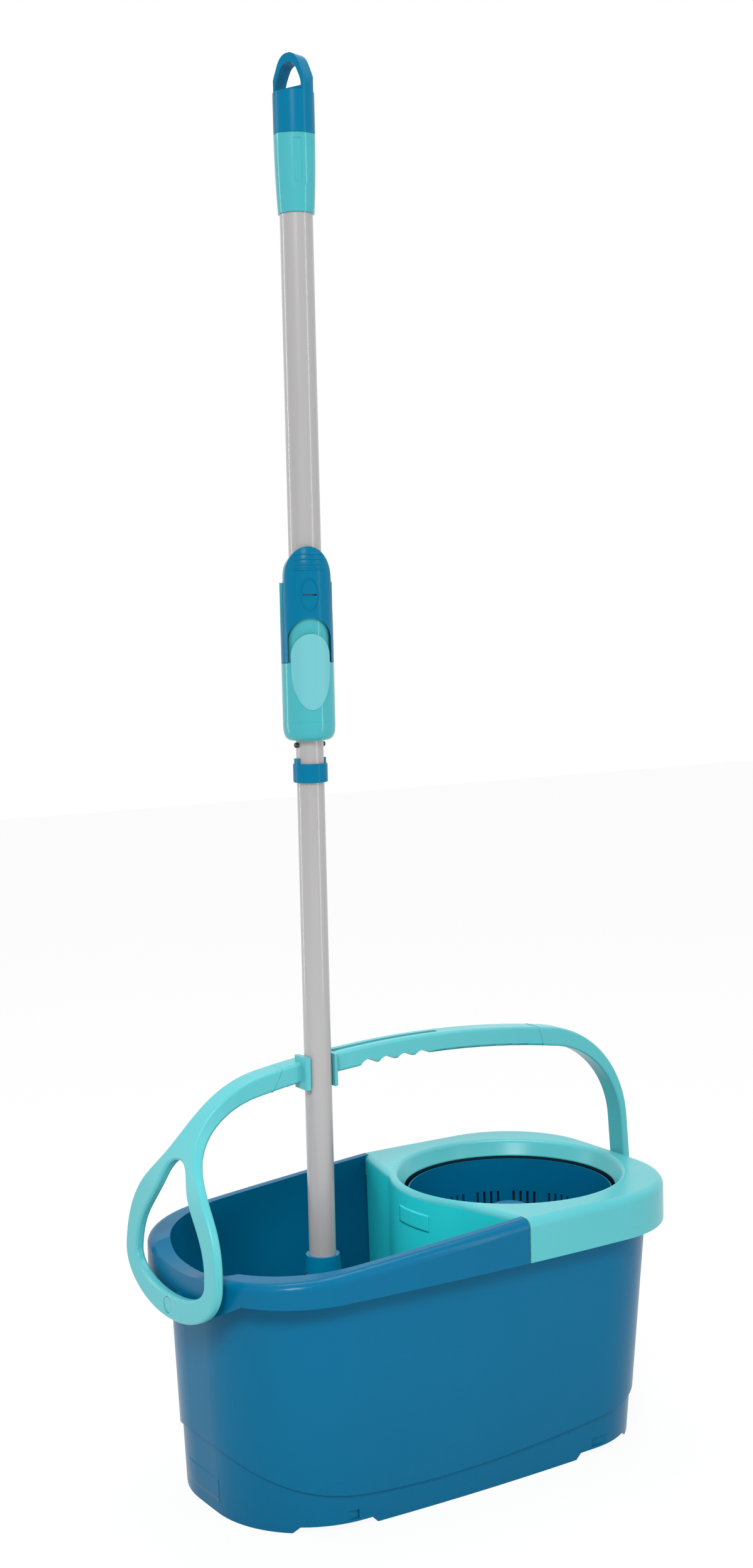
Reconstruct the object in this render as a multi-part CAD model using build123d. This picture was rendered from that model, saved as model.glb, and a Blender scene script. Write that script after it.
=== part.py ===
from build123d import *
import os
from math import radians, sqrt, tan

# Spin mop: a bucket with a spin basket and a carrying bail, and a two-tube mop clipped upright in it.
# Millimetres. +Z is up, +X points to the basket end, -Y to the front. The origin is on the floor, midway
# between the bail's two arms.

# Fits
RUN_FIT = 0.05        # radial play of a shaft that turns or slides in its hole
SEAT_FIT = 0.05       # play of a piece seated in another piece of the same body
GAP = 0.6             # moulded gap between neighbouring parts
PLAY = 1.0            # end play between moving parts

# Bucket shell
WALL_HALF = 131.0     # half width of the wall's outline at the lip
LEFT_TAPER = 12.0     # the outline is this much narrower at the spout end
RIGHT_TAPER = 5.0
WALL_LEFT_CORNER = 105.0
WALL_RIGHT_CORNER = 95.0
LEFT_DRAFT = 7.5      # how far the wall draws in from the lip down to the floor
RIGHT_DRAFT = 17.0
LEFT_SIDE_DRAFT = 7.0
SIDE_DRAFT = 9.0
RIGHT_SIDE_DRAFT = 12.0
BOTTOM_LEFT_CORNER = 100.0
BOTTOM_RIGHT_CORNER = 90.0
LIP_LEFT_GAP = 5.0    # from the feet of the bail's arms to the lip
LIP_RIGHT_GAP = 11.5
LIP_LEFT_OVERHANG = 12.0
LIP_SIDE_OVERHANG = 13.0
LIP_RIGHT_OVERHANG = 14.0
LIP_LEFT_CORNER = 95.0
LIP_RIGHT_CORNER = 98.0
LIP_HEIGHT = 40.0     # from the lip's lower edge to the rim's top
LIP_SKIRT = 2.5
LIP_ROUND = 8.0
END_BULGE = 4.0
WALL = 3.0
WAVE_STEP = 2.5       # the upper wall stands proud of the foot of the bucket
WAVE_LINE = [(-1.0, 96.0), (-0.84, 50.0), (-0.55, 31.0), (-0.1, 27.0), (0.6, 39.0), (1.0, 50.0)]
FLOOR_UNDER = 7.0
FLOOR = 3.0
STEP_Z = 104.0        # the wall's inner face steps out above the wave
SHELF_DROP = 20.0     # the lip's upper half belongs to the insert behind the seam
RIM_Z = 252.0
RIM_TILT = 4.3        # degrees, the blue rim falls towards the spout
RIM_TOP = 3.0
SPOUT_DROP = 30.0
SPOUT_HALF = 70.0
SPOUT_RISE = 12.0
APRON_DROP = 26.0     # the rim's skirt reaches lower under the spout
APRON_HALF = 90.0
NOTCH_SPAN = 148.0    # foot notches and trolley recesses, either side of the bottom's middle
NOTCH_LENGTH = 74.0
NOTCH_HEIGHT = 5.5
RECESS_LENGTH = 36.0
RECESS_HEIGHT = 8.0
RECESS_Z = 12.0
RECESS_DEPTH = 1.8

# Spin insert and basket
FUNNEL_WIDTH = 8.0
FUNNEL_DROP = 14.0
FUNNEL_ROUND = 6.0
BASKET_SIDE_GAP = 2.5 # between the basket and the mouth of the insert
MOUTH_BAND = 1.0
CUP_RELIEF = 3.5      # the cup is wider than the mouth
CUP_END_GAP = 7.5     # from the cup to the wall's right end
CUP_TAPER = 6.5
CUP_WALL = 2.5
CUP_DEPTH = 114.0     # below the rim
CUP_FLOOR = 3.0
DRAIN_R = 11.0
DRAIN_RING = 70.0
DRAIN_COUNT = 8
DECK = 3.0
SPLASH_EDGE = 1.0     # flat between the funnel and the bulged splash wall
SPLASH_BOW = 9.0
SEAM_SETBACK = 36.0   # blue rim meets the insert this far behind the splash wall's front
SEAM_GAP = 1.6        # open joint between the blue rim and the insert
SPLASH_FLARE_Y = 60.0
SPLASH_FLARE_R = 40.0
SPLASH_DROP = 24.0    # splash wall reaches below the cup
SPLASH_WALL = 3.0
SPLASH_ROUND = 6.0
AXLE_R = 5.0
BOSS_R = 12.0
BOSS_DROP = 12.0
BOSS_RISE = 7.0
WASHER = 1.5
BASKET_R = 101.5
BASKET_TAPER = 6.0
BASKET_WALL = 2.5
BASKET_LIFT = 18.0    # above the cup's underside
BASKET_FLOOR = 3.0
BASKET_RIM_GAP = 2.0
BASKET_BEAD = 1.2
SLOT_GROUPS = 16
SLOTS_PER_GROUP = 4
SLOT_PITCH = 4.3      # degrees
SLOT_WIDTH = 2.4
SLOT_RISE = 21.0      # above the basket's underside
SLOT_HEIGHT = 25.0
BUSH_WALL = 3.0
SLEEVE_WALL = 3.5
SLEEVE_HEIGHT = 32.0
HUB_FOOT_R = 34.0
HUB_TOP_R = 26.0
HUB_SHOULDER_RISE = 46.0
HUB_CROWN = 14.0
HUB_WALL = 2.5
HUB_ROUND = 8.0
CLIP_R = 9.0
CLIP_THICK = 1.2
CLIP_BITE = 1.0

# Carrying bail
BAIL_HALF_SPAN = 264.0
BAIL_LEAN = 4.0       # degrees, the arms lean in towards the top
BAIL_ARM = 8.5        # thickness of the arms and of the spout ring
BAIL_ARM_HALF = 11.5  # half width across the bucket
BAIL_REACH = 209.0    # from the pivot to the top of the grip
BAIL_CROWN_DROP = 31.0
GRIP_HEIGHT = 18.0
BAIL_SHOULDER = 112.0
BAIL_ROUND = 2.5
PIVOT_DROP = 18.0     # below the lip
PIVOT_R = 4.0
PIVOT_BOSS_R = 9.0
PIVOT_DEPTH = 11.0
PIN_HEAD_R = 7.0
PIN_HEAD = 3.0
RING_HALF = 88.0
RING_WIDE_RISE = 34.0 # above the pivot
RING_BAND = 22.0
RING_FOOT = 12.0      # below the pivot
RING_TOP_DROP = 34.0  # below the top of the grip, as the next two
RING_FLANK_DROP = 98.0
RING_FLANK_HALF = 48.0
EYE_TOP_DROP = 81.0
EYE_FLANK_DROP = 105.0
EYE_FLANK_HALF = 27.0
JAW = 4.5
JAW_DEPTH = 9.0       # how far the jaws pass the pole's axis
JAW_HEIGHT = 30.0
JAW_DROP = 2.0
CLIP_FIT = 0.4
CHANNEL_WIDTH = 7.0
CHANNEL_DEPTH = 6.0
CHANNEL_END_X = 31.0
SCALLOPS = 4
SCALLOP_PITCH = 20.0
SCALLOP_R = 11.0
SCALLOP_DEPTH = 4.0
SCALLOP_START_X = -52.0

# Mop pole and head, worked upwards from the pad
POLE_INSET = 130.0    # from the wall's left end
POLE_Y = -12.0
GRIP_TURN = -22.0     # degrees, the way the mop's grips face
LOOP_TURN = -70.0     # degrees, the way the hanging loop's strap runs
HEAD_CLEARANCE = 52.0
PAD_UNDER = 22.0
PAD_HEM = 3.0
PAD_LAP = 10.0
PLATE_R = 76.0
PAD_SIDE = 8.0        # pad's reach past the plate's edge
PLATE = 4.0
PLATE_DROP = 24.0     # plate's top below the swivel axis
EAR = 5.5
EAR_R = 9.5
TONGUE = 13.0
TONGUE_WIDTH = 18.0
SWIVEL_R = 4.0
SOCKET_RISE = 102.0   # socket's mouth above the swivel axis
SOCKET_BODY = 88.0
SOCKET_MOUTH_R = 15.5
SOCKET_WAIST_R = 18.5
SOCKET_DEPTH = 64.0
SOCKET_SCREW_DROP = 19.0
SOCKET_SCREW_R = 1.8
SOCKET_SCREW_HEAD_R = 3.6
SOCKET_SCREW_HEAD = 2.4
TUBE_R = 12.5
TUBE_WALL = 1.0
COLLAR_RISE = 438.0   # collar's foot above the socket's mouth
COLLAR = 17.0
COLLAR_R = 15.75
COLLAR_TRAVEL = 8.0
LUG = 5.0
LUG_WIDTH = 6.5
BUTTON_GAP = 4.0      # button's axis above the lugs when the collar is up
BUTTON_R = 2.4
BUTTON_OUT = 3.2
BUTTON_FLANGE_R = 3.6
BUTTON_FLANGE = 1.2
CAP_RISE = 4.0
CAP = 17.0
CAP_MOUTH_R = 14.0
CAP_FLAT_R = 14.8     # flat foot of the bowl
CAP_BAND = 1.5        # straight band at its top
CAP_SEAT = 10.5       # seat of the bush's flange above the foot
BUSH_R = 17.0
BUSH_FOOT = 2.5
BUSH = 11.0
RETAINER_R = 16.0
RETAINER = 2.5
HOUSING = 127.0
HOUSING_R = 23.8
HOUSING_TOP_R = 20.8
HOUSING_WALL = 2.6
HOUSING_LIP = 2.0
HOUSING_BORE_R = 17.5
SHOULDER_RISE = 53.0  # where the lock slider's skirts sit
SLIDER_WALL = 2.6
SLIDER_FIT = 0.35
SLIDER_RISE = 103.5
SLIDER_DOME = 27.0    # height of the rounded top, seen from the front
SLIDER_DOME_HALF = 21.0
NOSE_GAP = 1.6        # between the slider's nose and the upper tube
NOSE_WALL = 2.0
ARCH_HALF = 19.5
ARCH_RISE = 40.0
ARCH_CROWN = 18.5     # rounded part of the arch
BUMP_GAP = 0.8
PAD_OVAL_HALF = 17.5
PAD_OVAL_FOOT = 35.0  # the oval's lower half, its straight sides and its crown
PAD_OVAL_SIDE = 13.0
PAD_OVAL_CROWN = 20.0
PAD_OVAL_RISE = 46.0
PAD_OVAL_THICK = 2.4
PAD_OVAL_PROUD = 0.6
RIDGES = 4
RIDGE_PITCH = 4.6
RIDGE_R = 0.8
RIDGE_RISE = 8.0      # first ridge above the slider's neck
RIDGE_SPAN = 26.0
WINDOW_HALF = 6.2
WINDOW_HEIGHT = 1.6
WINDOW_RISE = 60.5
FRAME_HALF = 8.7      # oval bead round the window
FRAME_HEIGHT = 29.0
FRAME_BEAD = 0.9
FRAME_PROUD = 0.5
HOUSING_SCREW_X = 19.4
HOUSING_SCREW_RISE = 24.0
HOUSING_SCREW_R = 1.3
HOUSING_SCREW_HEAD_R = 2.2
HOUSING_SCREW_HEAD = 2.0
HOUSING_SCREW_DEPTH = 6.0
HOUSING_SCREW_SEAT = 5.0
HOUSING_BOSS = 9.0
UPPER_R = 14.75
UPPER_WALL = 1.0
UPPER_BUSH = 14.0
UPPER_BUSH_R = 17.4
PUMP_STROKE = 100.0
UPPER_SHOWN = 322.0   # upper tube between the housing and the top grip
NUT_RISE = 71.0       # lower tube's end above the housing
NUT = 14.0
NUT_SPIGOT = 16.0
ROD_WIDTH = 7.0
ROD_THICK = 2.6
ROD_LEAD = 60.0
ROD_PLAY = 0.45
ROD_HEAD_R = 4.5
ROD_TAIL = 25.0
ANCHOR = 22.0
ANCHOR_RISE = 60.0    # anchor above the nut at rest, past the stroke
TOP_GRIP = 68.0
TOP_GRIP_R = 18.5
TOP_GRIP_FOOT_R = 16.3
GRIP_SWELL = 0.5
GRIP_FACET = 1.2      # depth of the front's shallow facet
FACET_R = 20.0
LABEL_WIDTH = 7.0
LABEL_HEIGHT = 38.0
LABEL_DROP = 24.0
LABEL_DEPTH = 0.6
CAP_BODY = 40.0
LOOP = 30.0
LOOP_THICK = 14.0
LOOP_STRAP = 4.0
LOOP_FLANK = 0.74     # half width of the loop's arch, as a share, part of the way up
LOOP_FLANK_RISE = 0.58
LOOP_TIP = 0.12
PLUG_DEPTH = 26.0

# Places and sizes that follow
LIP_LEFT = LIP_LEFT_GAP + BAIL_ARM - BAIL_HALF_SPAN
LIP_RIGHT = BAIL_HALF_SPAN - BAIL_ARM - LIP_RIGHT_GAP
WALL_LEFT = LIP_LEFT + LIP_LEFT_OVERHANG
WALL_RIGHT = LIP_RIGHT - LIP_RIGHT_OVERHANG
WALL_LEFT_HALF = WALL_HALF - LEFT_TAPER
WALL_RIGHT_HALF = WALL_HALF - RIGHT_TAPER
BOTTOM_LEFT = WALL_LEFT + LEFT_DRAFT
BOTTOM_RIGHT = WALL_RIGHT - RIGHT_DRAFT
BOTTOM_LEFT_HALF = WALL_LEFT_HALF - LEFT_SIDE_DRAFT
BOTTOM_HALF = WALL_HALF - SIDE_DRAFT
BOTTOM_RIGHT_HALF = WALL_RIGHT_HALF - RIGHT_SIDE_DRAFT
LIP_LEFT_HALF = WALL_LEFT_HALF + LIP_LEFT_OVERHANG
LIP_HALF = WALL_HALF + LIP_SIDE_OVERHANG
LIP_RIGHT_HALF = WALL_RIGHT_HALF + LIP_SIDE_OVERHANG
LIP_Z = RIM_Z - LIP_HEIGHT
SPOUT_Z = RIM_Z - SPOUT_DROP
MOUTH_R = BASKET_R + BASKET_SIDE_GAP
CUP_R = MOUTH_R + CUP_RELIEF
FUNNEL_R = MOUTH_R + FUNNEL_WIDTH
BASKET_X = WALL_RIGHT - CUP_R - CUP_END_GAP
SPLASH_X = BASKET_X - FUNNEL_R - FUNNEL_ROUND - SPLASH_EDGE
SPLASH_R = FUNNEL_R + SPLASH_BOW
SEAM_X = SPLASH_X + SEAM_SETBACK
CUP_FLOOR_Z = RIM_Z - CUP_DEPTH
SPLASH_FOOT_Z = CUP_FLOOR_Z - SPLASH_DROP
BASKET_FLOOR_Z = CUP_FLOOR_Z + BASKET_LIFT
SLOT_FOOT_Z = BASKET_FLOOR_Z + SLOT_RISE
HUB_SHOULDER_Z = BASKET_FLOOR_Z + HUB_SHOULDER_RISE
HUB_TOP_Z = HUB_SHOULDER_Z + HUB_CROWN
PIVOT_Z = LIP_Z - PIVOT_DROP
BAIL_TOP_Z = PIVOT_Z + BAIL_REACH
JAW_TOP_Z = BAIL_TOP_Z - JAW_DROP
RING_WIDE_Z = PIVOT_Z + RING_WIDE_RISE
RING_TOP_Z = BAIL_TOP_Z - RING_TOP_DROP
POLE_X = WALL_LEFT + POLE_INSET
FLOOR_Z = FLOOR_UNDER + FLOOR
PAD_Z = FLOOR_Z + HEAD_CLEARANCE
PAD_R = PLATE_R + PAD_SIDE
PLATE_Z = PAD_Z + PAD_UNDER
SWIVEL_Z = PLATE_Z + PLATE + PLATE_DROP
SOCKET_Z = SWIVEL_Z + SOCKET_RISE
COLLAR_Z = SOCKET_Z + COLLAR_RISE
BUTTON_Z = COLLAR_Z + COLLAR + LUG + COLLAR_TRAVEL + BUTTON_GAP
CAP_Z = BUTTON_Z + CAP_RISE
HOUSING_Z = CAP_Z + CAP
HOUSING_TOP_Z = HOUSING_Z + HOUSING
SHOULDER_Z = HOUSING_Z + SHOULDER_RISE
NUT_Z = HOUSING_TOP_Z + NUT_RISE
GRIP_Z = HOUSING_TOP_Z + UPPER_SHOWN
CAP_FOOT_Z = GRIP_Z + TOP_GRIP
LOOP_Z = CAP_FOOT_Z + CAP_BODY
TOP_Z = LOOP_Z + LOOP
TUBE_BORE_R = TUBE_R - TUBE_WALL
UPPER_BORE_R = UPPER_R - UPPER_WALL
RETAINER_Z = CAP_Z + BUSH_FOOT + BUSH + PLAY
UPPER_END_Z = RETAINER_Z + RETAINER + PUMP_STROKE + 4 * PLAY
TUBE_FOOT_Z = SOCKET_Z - SOCKET_DEPTH
ROD_FOOT_Z = NUT_Z - ROD_TAIL
ANCHOR_Z = NUT_Z + NUT + PUMP_STROKE + ANCHOR_RISE
DECK_UNDER_Z = RIM_Z - DECK
SHELF_Z = RIM_Z - SHELF_DROP
BOTTOM_MID = (BOTTOM_LEFT + BOTTOM_RIGHT) / 2
FAR = 900.0           # larger than the object, for cutting half spaces


def write(name, shape):
    """Save one node."""
    export_step(shape, os.path.join("parts", name + ".step"))


def half_space(x=None, y=None, z=None, above=True):
    """A large box on one side of the plane x, y or z = value."""
    shift = FAR if above else -FAR
    if x is not None:
        return Pos(x + shift, 0, 0) * Box(2 * FAR, 4 * FAR, 4 * FAR)
    if y is not None:
        return Pos(0, y + shift, 0) * Box(4 * FAR, 2 * FAR, 4 * FAR)
    return Pos(0, 0, z + shift) * Box(4 * FAR, 4 * FAR, 2 * FAR)


def turned(points):
    """Solid of revolution about Z from a closed outline of (radius, height) points."""
    return revolve(make_face(Plane.XZ * Polyline(*points, close=True)), Axis.Z)


def ring(inner, outer, low, high):
    """Plain tube about Z."""
    return Pos(0, 0, low) * (
        Cylinder(outer, high - low, align=(Align.CENTER, Align.CENTER, Align.MIN))
        - Cylinder(inner, high - low, align=(Align.CENTER, Align.CENTER, Align.MIN))
    )


def post(radius, low, high):
    """Plain round bar about Z."""
    return Pos(0, 0, low) * Cylinder(radius, high - low, align=(Align.CENTER, Align.CENTER, Align.MIN))


def bar_x(radius, x_low, x_high, y=0.0, z=0.0):
    """Round bar along X."""
    return Pos((x_low + x_high) / 2, y, z) * Rot(0, 90, 0) * Cylinder(radius, x_high - x_low)


def bar_y(radius, y_low, y_high, x=0.0, z=0.0):
    """Round bar along Y."""
    return Pos(x, (y_low + y_high) / 2, z) * Rot(90, 0, 0) * Cylinder(radius, y_high - y_low)


def on_pole(shape, turn=0.0):
    """Put a piece modelled about Z on the pole's axis."""
    return Pos(POLE_X, POLE_Y, 0) * Rot(0, 0, turn) * shape


# Bucket

def outline(left, right, left_half, half, right_half, left_corner, right_corner, z=0.0):
    """Bucket outline: gently bulged ends and sides with rounded corners."""
    west = left + END_BULGE
    east = right - END_BULGE
    middle = (left + right) / 2
    edges = [
        ThreePointArc((west, left_half), (left, 0), (west, -left_half)),
        ThreePointArc((west, -left_half), (middle, -half), (east, -right_half)),
        ThreePointArc((east, -right_half), (right, 0), (east, right_half)),
        ThreePointArc((east, right_half), (middle, half), (west, left_half)),
    ]
    face = make_face(edges)
    face = fillet(face.vertices().sort_by(Axis.X)[:2], min(left_corner, left_half - 2 * END_BULGE))
    face = fillet(face.vertices().sort_by(Axis.X)[-2:], min(right_corner, right_half - 2 * END_BULGE))
    return Pos(0, 0, z) * face


def wall_section(z, inset=0.0):
    """The wall's outline at height z, drawn in by inset."""
    def at(low, high):
        return low + (high - low) * z / LIP_Z
    return outline(
        at(BOTTOM_LEFT, WALL_LEFT) + inset,
        at(BOTTOM_RIGHT, WALL_RIGHT) - inset,
        at(BOTTOM_LEFT_HALF, WALL_LEFT_HALF) - inset,
        at(BOTTOM_HALF, WALL_HALF) - inset,
        at(BOTTOM_RIGHT_HALF, WALL_RIGHT_HALF) - inset,
        at(BOTTOM_LEFT_CORNER, WALL_LEFT_CORNER) - inset,
        at(BOTTOM_RIGHT_CORNER, WALL_RIGHT_CORNER) - inset,
        z,
    )


def wall_loft(low, high, inset=0.0):
    """Tapered block inside the wall's outline."""
    return loft([wall_section(low, inset), wall_section(high, inset)], ruled=True)


def lip_block(low, high, inset=0.0):
    """Upright block inside the lip's outline."""
    face = outline(
        LIP_LEFT + inset, LIP_RIGHT - inset,
        LIP_LEFT_HALF - inset, LIP_HALF - inset, LIP_RIGHT_HALF - inset,
        LIP_LEFT_CORNER - inset, LIP_RIGHT_CORNER - inset, low,
    )
    return extrude(face, amount=high - low)


def above_rim(drop=0.0):
    """Everything above the blue rim's tilted top."""
    block = Box(2 * FAR, 2 * FAR, FAR, align=(Align.CENTER, Align.CENTER, Align.MIN))
    return Pos(SEAM_X, 0, RIM_Z - drop) * Rot(0, -RIM_TILT, 0) * block


def rim_block(inset, drop, seam):
    """Blue rim with its rounded outer top edge, still solid."""
    block = lip_block(LIP_Z, RIM_Z + LIP_ROUND, inset) - half_space(x=seam) - above_rim(drop)
    top = block.faces().filter_by(lambda f: f.normal_at().Z > 0.9).sort_by(Axis.Z)[-1]
    edges = top.edges().filter_by(lambda e: e.center().X < seam - PLAY)
    return fillet(edges, LIP_ROUND - inset)


def above_wave():
    """Everything above the wave line that runs round the foot of the bucket."""
    half = (LIP_RIGHT - LIP_LEFT) / 2 + WALL
    middle = (LIP_RIGHT + LIP_LEFT) / 2
    points = [(middle + half * x, z) for x, z in WAVE_LINE]
    top = RIM_Z + FAR
    face = make_face(Plane.XZ * (Spline(points) + Polyline(
        points[-1], (points[-1][0], top), (points[0][0], top), points[0])))
    return extrude(face, amount=FAR, both=True)


def foot_notch(x):
    """Tapered notch through the foot of the front and back walls."""
    long, short = NOTCH_LENGTH / 2, NOTCH_LENGTH / 2 - NOTCH_HEIGHT
    face = make_face(Plane.XZ * Polyline(
        (x - long, 0), (x + long, 0), (x + short, NOTCH_HEIGHT), (x - short, NOTCH_HEIGHT), close=True))
    return extrude(face, amount=FAR, both=True)


def trolley_recess(x, side):
    """Shallow recess in the foot for a trolley's clip."""
    probe = wall_section(RECESS_Z, WAVE_STEP) & (Pos(x, 0, RECESS_Z) * Box(RECESS_LENGTH, FAR, PLAY))
    face = probe.bounding_box().max.Y
    return Pos(x, side * (face + RECESS_HEIGHT - RECESS_DEPTH), RECESS_Z) * Box(
        RECESS_LENGTH, 2 * RECESS_HEIGHT, RECESS_HEIGHT)


def arm_inner(z):
    """Distance of an arm's inner face from the middle at height z."""
    return BAIL_HALF_SPAN - BAIL_ARM - tan(radians(BAIL_LEAN)) * (z - PIVOT_Z + RING_FOOT)


def along_x(radius, end, near, far, z):
    """Round bar along X between two distances from the middle, on the left (-1) or right (1)."""
    return bar_x(radius, min(end * near, end * far), max(end * near, end * far), z=z)


BOSS_TIP = arm_inner(PIVOT_Z + PIVOT_BOSS_R) - GAP


def pivot_boss(end):
    """Boss on the end wall that carries the bail's pin; end is -1 on the left, 1 on the right."""
    section = wall_section(PIVOT_Z, WALL + PLAY).bounding_box()
    root = section.max.X if end > 0 else -section.min.X
    return along_x(PIVOT_BOSS_R, end, root, BOSS_TIP, PIVOT_Z)


def spout_scoop(grow):
    """Round bar along X that dips the rim into a spout, larger by grow."""
    radius = (SPOUT_HALF ** 2 + SPOUT_RISE ** 2) / (2 * SPOUT_RISE)
    return bar_x(radius + grow, LIP_LEFT - SPOUT_HALF, LIP_LEFT + SPOUT_HALF, z=SPOUT_Z + radius)


def spout_apron():
    """Skirt of the rim that reaches lower under the spout."""
    radius = (APRON_HALF ** 2 + APRON_DROP ** 2) / (2 * APRON_DROP)
    low = LIP_Z - APRON_DROP
    skirt = lip_block(low, LIP_Z + PLAY) - lip_block(low, LIP_Z + PLAY, LIP_SKIRT)
    return skirt & bar_x(radius, LIP_LEFT - PLAY, LIP_LEFT + APRON_HALF, z=low + radius)


def bucket_shell():
    """The bucket: wall, floor, rolled blue rim with its spout, foot and pivot bosses."""
    high = RIM_Z + LIP_ROUND
    wall = wall_loft(0, high, WAVE_STEP) + (wall_loft(0, high) & above_wave())
    wall -= above_rim() - half_space(x=SEAM_X)
    wall -= half_space(z=SHELF_Z) & half_space(x=SEAM_X)
    rim = rim_block(0, 0, SEAM_X - SEAM_GAP / 2)
    hollow = rim_block(LIP_SKIRT, RIM_TOP, SEAM_X - SEAM_GAP / 2 - LIP_SKIRT) - wall_loft(0, high)
    hollow -= spout_scoop(RIM_TOP)
    body = wall + pivot_boss(-1) + pivot_boss(1) + (rim - hollow) + spout_apron()
    body -= wall_loft(FLOOR_Z, high + LIP_ROUND, WALL + WAVE_STEP)
    body -= wall_loft(STEP_Z, high + LIP_ROUND, WALL)
    body -= wall_loft(0, FLOOR_UNDER, WALL + WAVE_STEP)
    body -= spout_scoop(0)
    for x in (BOTTOM_MID - NOTCH_SPAN, BOTTOM_MID + NOTCH_SPAN):
        body -= foot_notch(x)
        body -= trolley_recess(x, -1)
        body -= trolley_recess(x, 1)
    for end in (-1, 1):
        body -= along_x(PIVOT_R + SEAT_FIT, end, BOSS_TIP - PIVOT_DEPTH, BOSS_TIP + PLAY, PIVOT_Z)
    return body


def cavity(low, high, clearance):
    """The space inside the bucket's wall, less a clearance."""
    return wall_loft(low, high, WALL + WAVE_STEP + clearance)


# Spin insert

def splash_outline(inset):
    """Plan of the insert behind the bulged splash wall, open to the right end."""
    radius = SPLASH_R - inset
    centre = SPLASH_X + SPLASH_R
    reach = SPLASH_FLARE_Y
    x_start = centre - sqrt(radius ** 2 - reach ** 2)
    mouth = SEAM_X + inset
    wide = LIP_HALF + PLAY
    far = LIP_RIGHT + PLAY
    edges = [
        ThreePointArc((x_start, reach), (SPLASH_X + inset, 0), (x_start, -reach)),
        Line((x_start, -reach), (mouth, -wide)),
        Line((mouth, -wide), (far, -wide)),
        Line((far, -wide), (far, wide)),
        Line((far, wide), (mouth, wide)),
        Line((mouth, wide), (x_start, reach)),
    ]
    face = make_face(edges)
    flare = face.vertices().filter_by(lambda v: abs(v.X - x_start) < GAP)
    return fillet(flare, SPLASH_FLARE_R)


def splash_block(inset, low, high):
    """Upright block of the splash outline."""
    return extrude(Pos(0, 0, low) * splash_outline(inset), amount=high - low)


def insert_block(inset, drop):
    """The insert's lip and deck as a solid with a rounded outer top edge."""
    block = lip_block(LIP_Z, RIM_Z - drop, inset) & half_space(x=SEAM_X + SEAM_GAP / 2)
    top = block.faces().sort_by(Axis.Z)[-1]
    edges = top.edges().filter_by(lambda e: e.center().X > SEAM_X + PLAY)
    return fillet(edges, LIP_ROUND - inset)


def spin_insert():
    """Turquoise insert: lip, deck, funnel, splash wall and the fixed cup round the basket."""
    skin = insert_block(0, 0) - insert_block(LIP_SKIRT, DECK)
    bulge = splash_block(0, SHELF_Z, RIM_Z)
    top = bulge.faces().sort_by(Axis.Z)[-1]
    bulge = fillet(top.edges().filter_by(lambda e: e.center().X < SEAM_X + PLAY), SPLASH_ROUND)
    bulge &= wall_loft(SHELF_Z, RIM_Z, WALL + SEAT_FIT)
    crust = bulge + insert_block(0, 0)
    bulge -= splash_block(SPLASH_WALL, SHELF_Z, DECK_UNDER_Z)
    apron = splash_block(0, SPLASH_FOOT_Z, SHELF_Z) - splash_block(SPLASH_WALL, SPLASH_FOOT_Z, SHELF_Z)
    apron &= cavity(SPLASH_FOOT_Z, SHELF_Z, SEAT_FIT)
    shelf = lip_block(SHELF_Z + SEAT_FIT, SHELF_Z + DECK, LIP_SKIRT) & half_space(x=SEAM_X + SEAM_GAP / 2)
    shelf -= cavity(SHELF_Z, RIM_Z, WALL)
    funnel_low = RIM_Z - FUNNEL_DROP
    cup_low_r = CUP_R - CUP_TAPER
    deck_r = FUNNEL_R + FUNNEL_ROUND
    profile = make_face(Plane.XZ * Polyline(
        (0, CUP_FLOOR_Z), (cup_low_r, CUP_FLOOR_Z), (CUP_R, funnel_low), (FUNNEL_R, DECK_UNDER_Z),
        (deck_r, DECK_UNDER_Z), (deck_r, RIM_Z), (FUNNEL_R, RIM_Z), (MOUTH_R, funnel_low),
        (MOUTH_R, funnel_low - MOUTH_BAND), (CUP_R - CUP_WALL, funnel_low - MOUTH_BAND),
        (cup_low_r - CUP_WALL, CUP_FLOOR_Z + CUP_FLOOR), (0, CUP_FLOOR_Z + CUP_FLOOR), close=True))
    brink = profile.vertices().filter_by(lambda v: abs(v.X - FUNNEL_R) < GAP and v.Z > RIM_Z - GAP)
    cup = Pos(BASKET_X, 0, 0) * revolve(fillet(brink, FUNNEL_ROUND), Axis.Z)
    cup = cup - half_space(z=DECK_UNDER_Z) + (cup & crust & half_space(z=DECK_UNDER_Z))
    centre = Pos(BASKET_X, 0, 0)
    cup += centre * post(BOSS_R, CUP_FLOOR_Z - BOSS_DROP, CUP_FLOOR_Z + CUP_FLOOR + BOSS_RISE)
    cup -= centre * post(AXLE_R + SEAT_FIT, CUP_FLOOR_Z - BOSS_DROP - PLAY, RIM_Z)
    for location in PolarLocations(DRAIN_RING, DRAIN_COUNT):
        cup -= centre * location * post(DRAIN_R, CUP_FLOOR_Z - PLAY, CUP_FLOOR_Z + CUP_FLOOR + PLAY)
    well = turned([(0, CUP_FLOOR_Z), (cup_low_r, CUP_FLOOR_Z), (CUP_R, funnel_low),
                   (FUNNEL_R, DECK_UNDER_Z), (deck_r, DECK_UNDER_Z), (deck_r, RIM_Z + PLAY),
                   (0, RIM_Z + PLAY)])
    return skin + bulge + apron + shelf - centre * well + cup


# Basket

BASKET_TOP_Z = RIM_Z - FUNNEL_DROP - MOUTH_BAND - BASKET_RIM_GAP
BUSH_R_OUT = AXLE_R + RUN_FIT + BUSH_WALL
SLEEVE_R = BUSH_R_OUT + SEAT_FIT + SLEEVE_WALL


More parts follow.
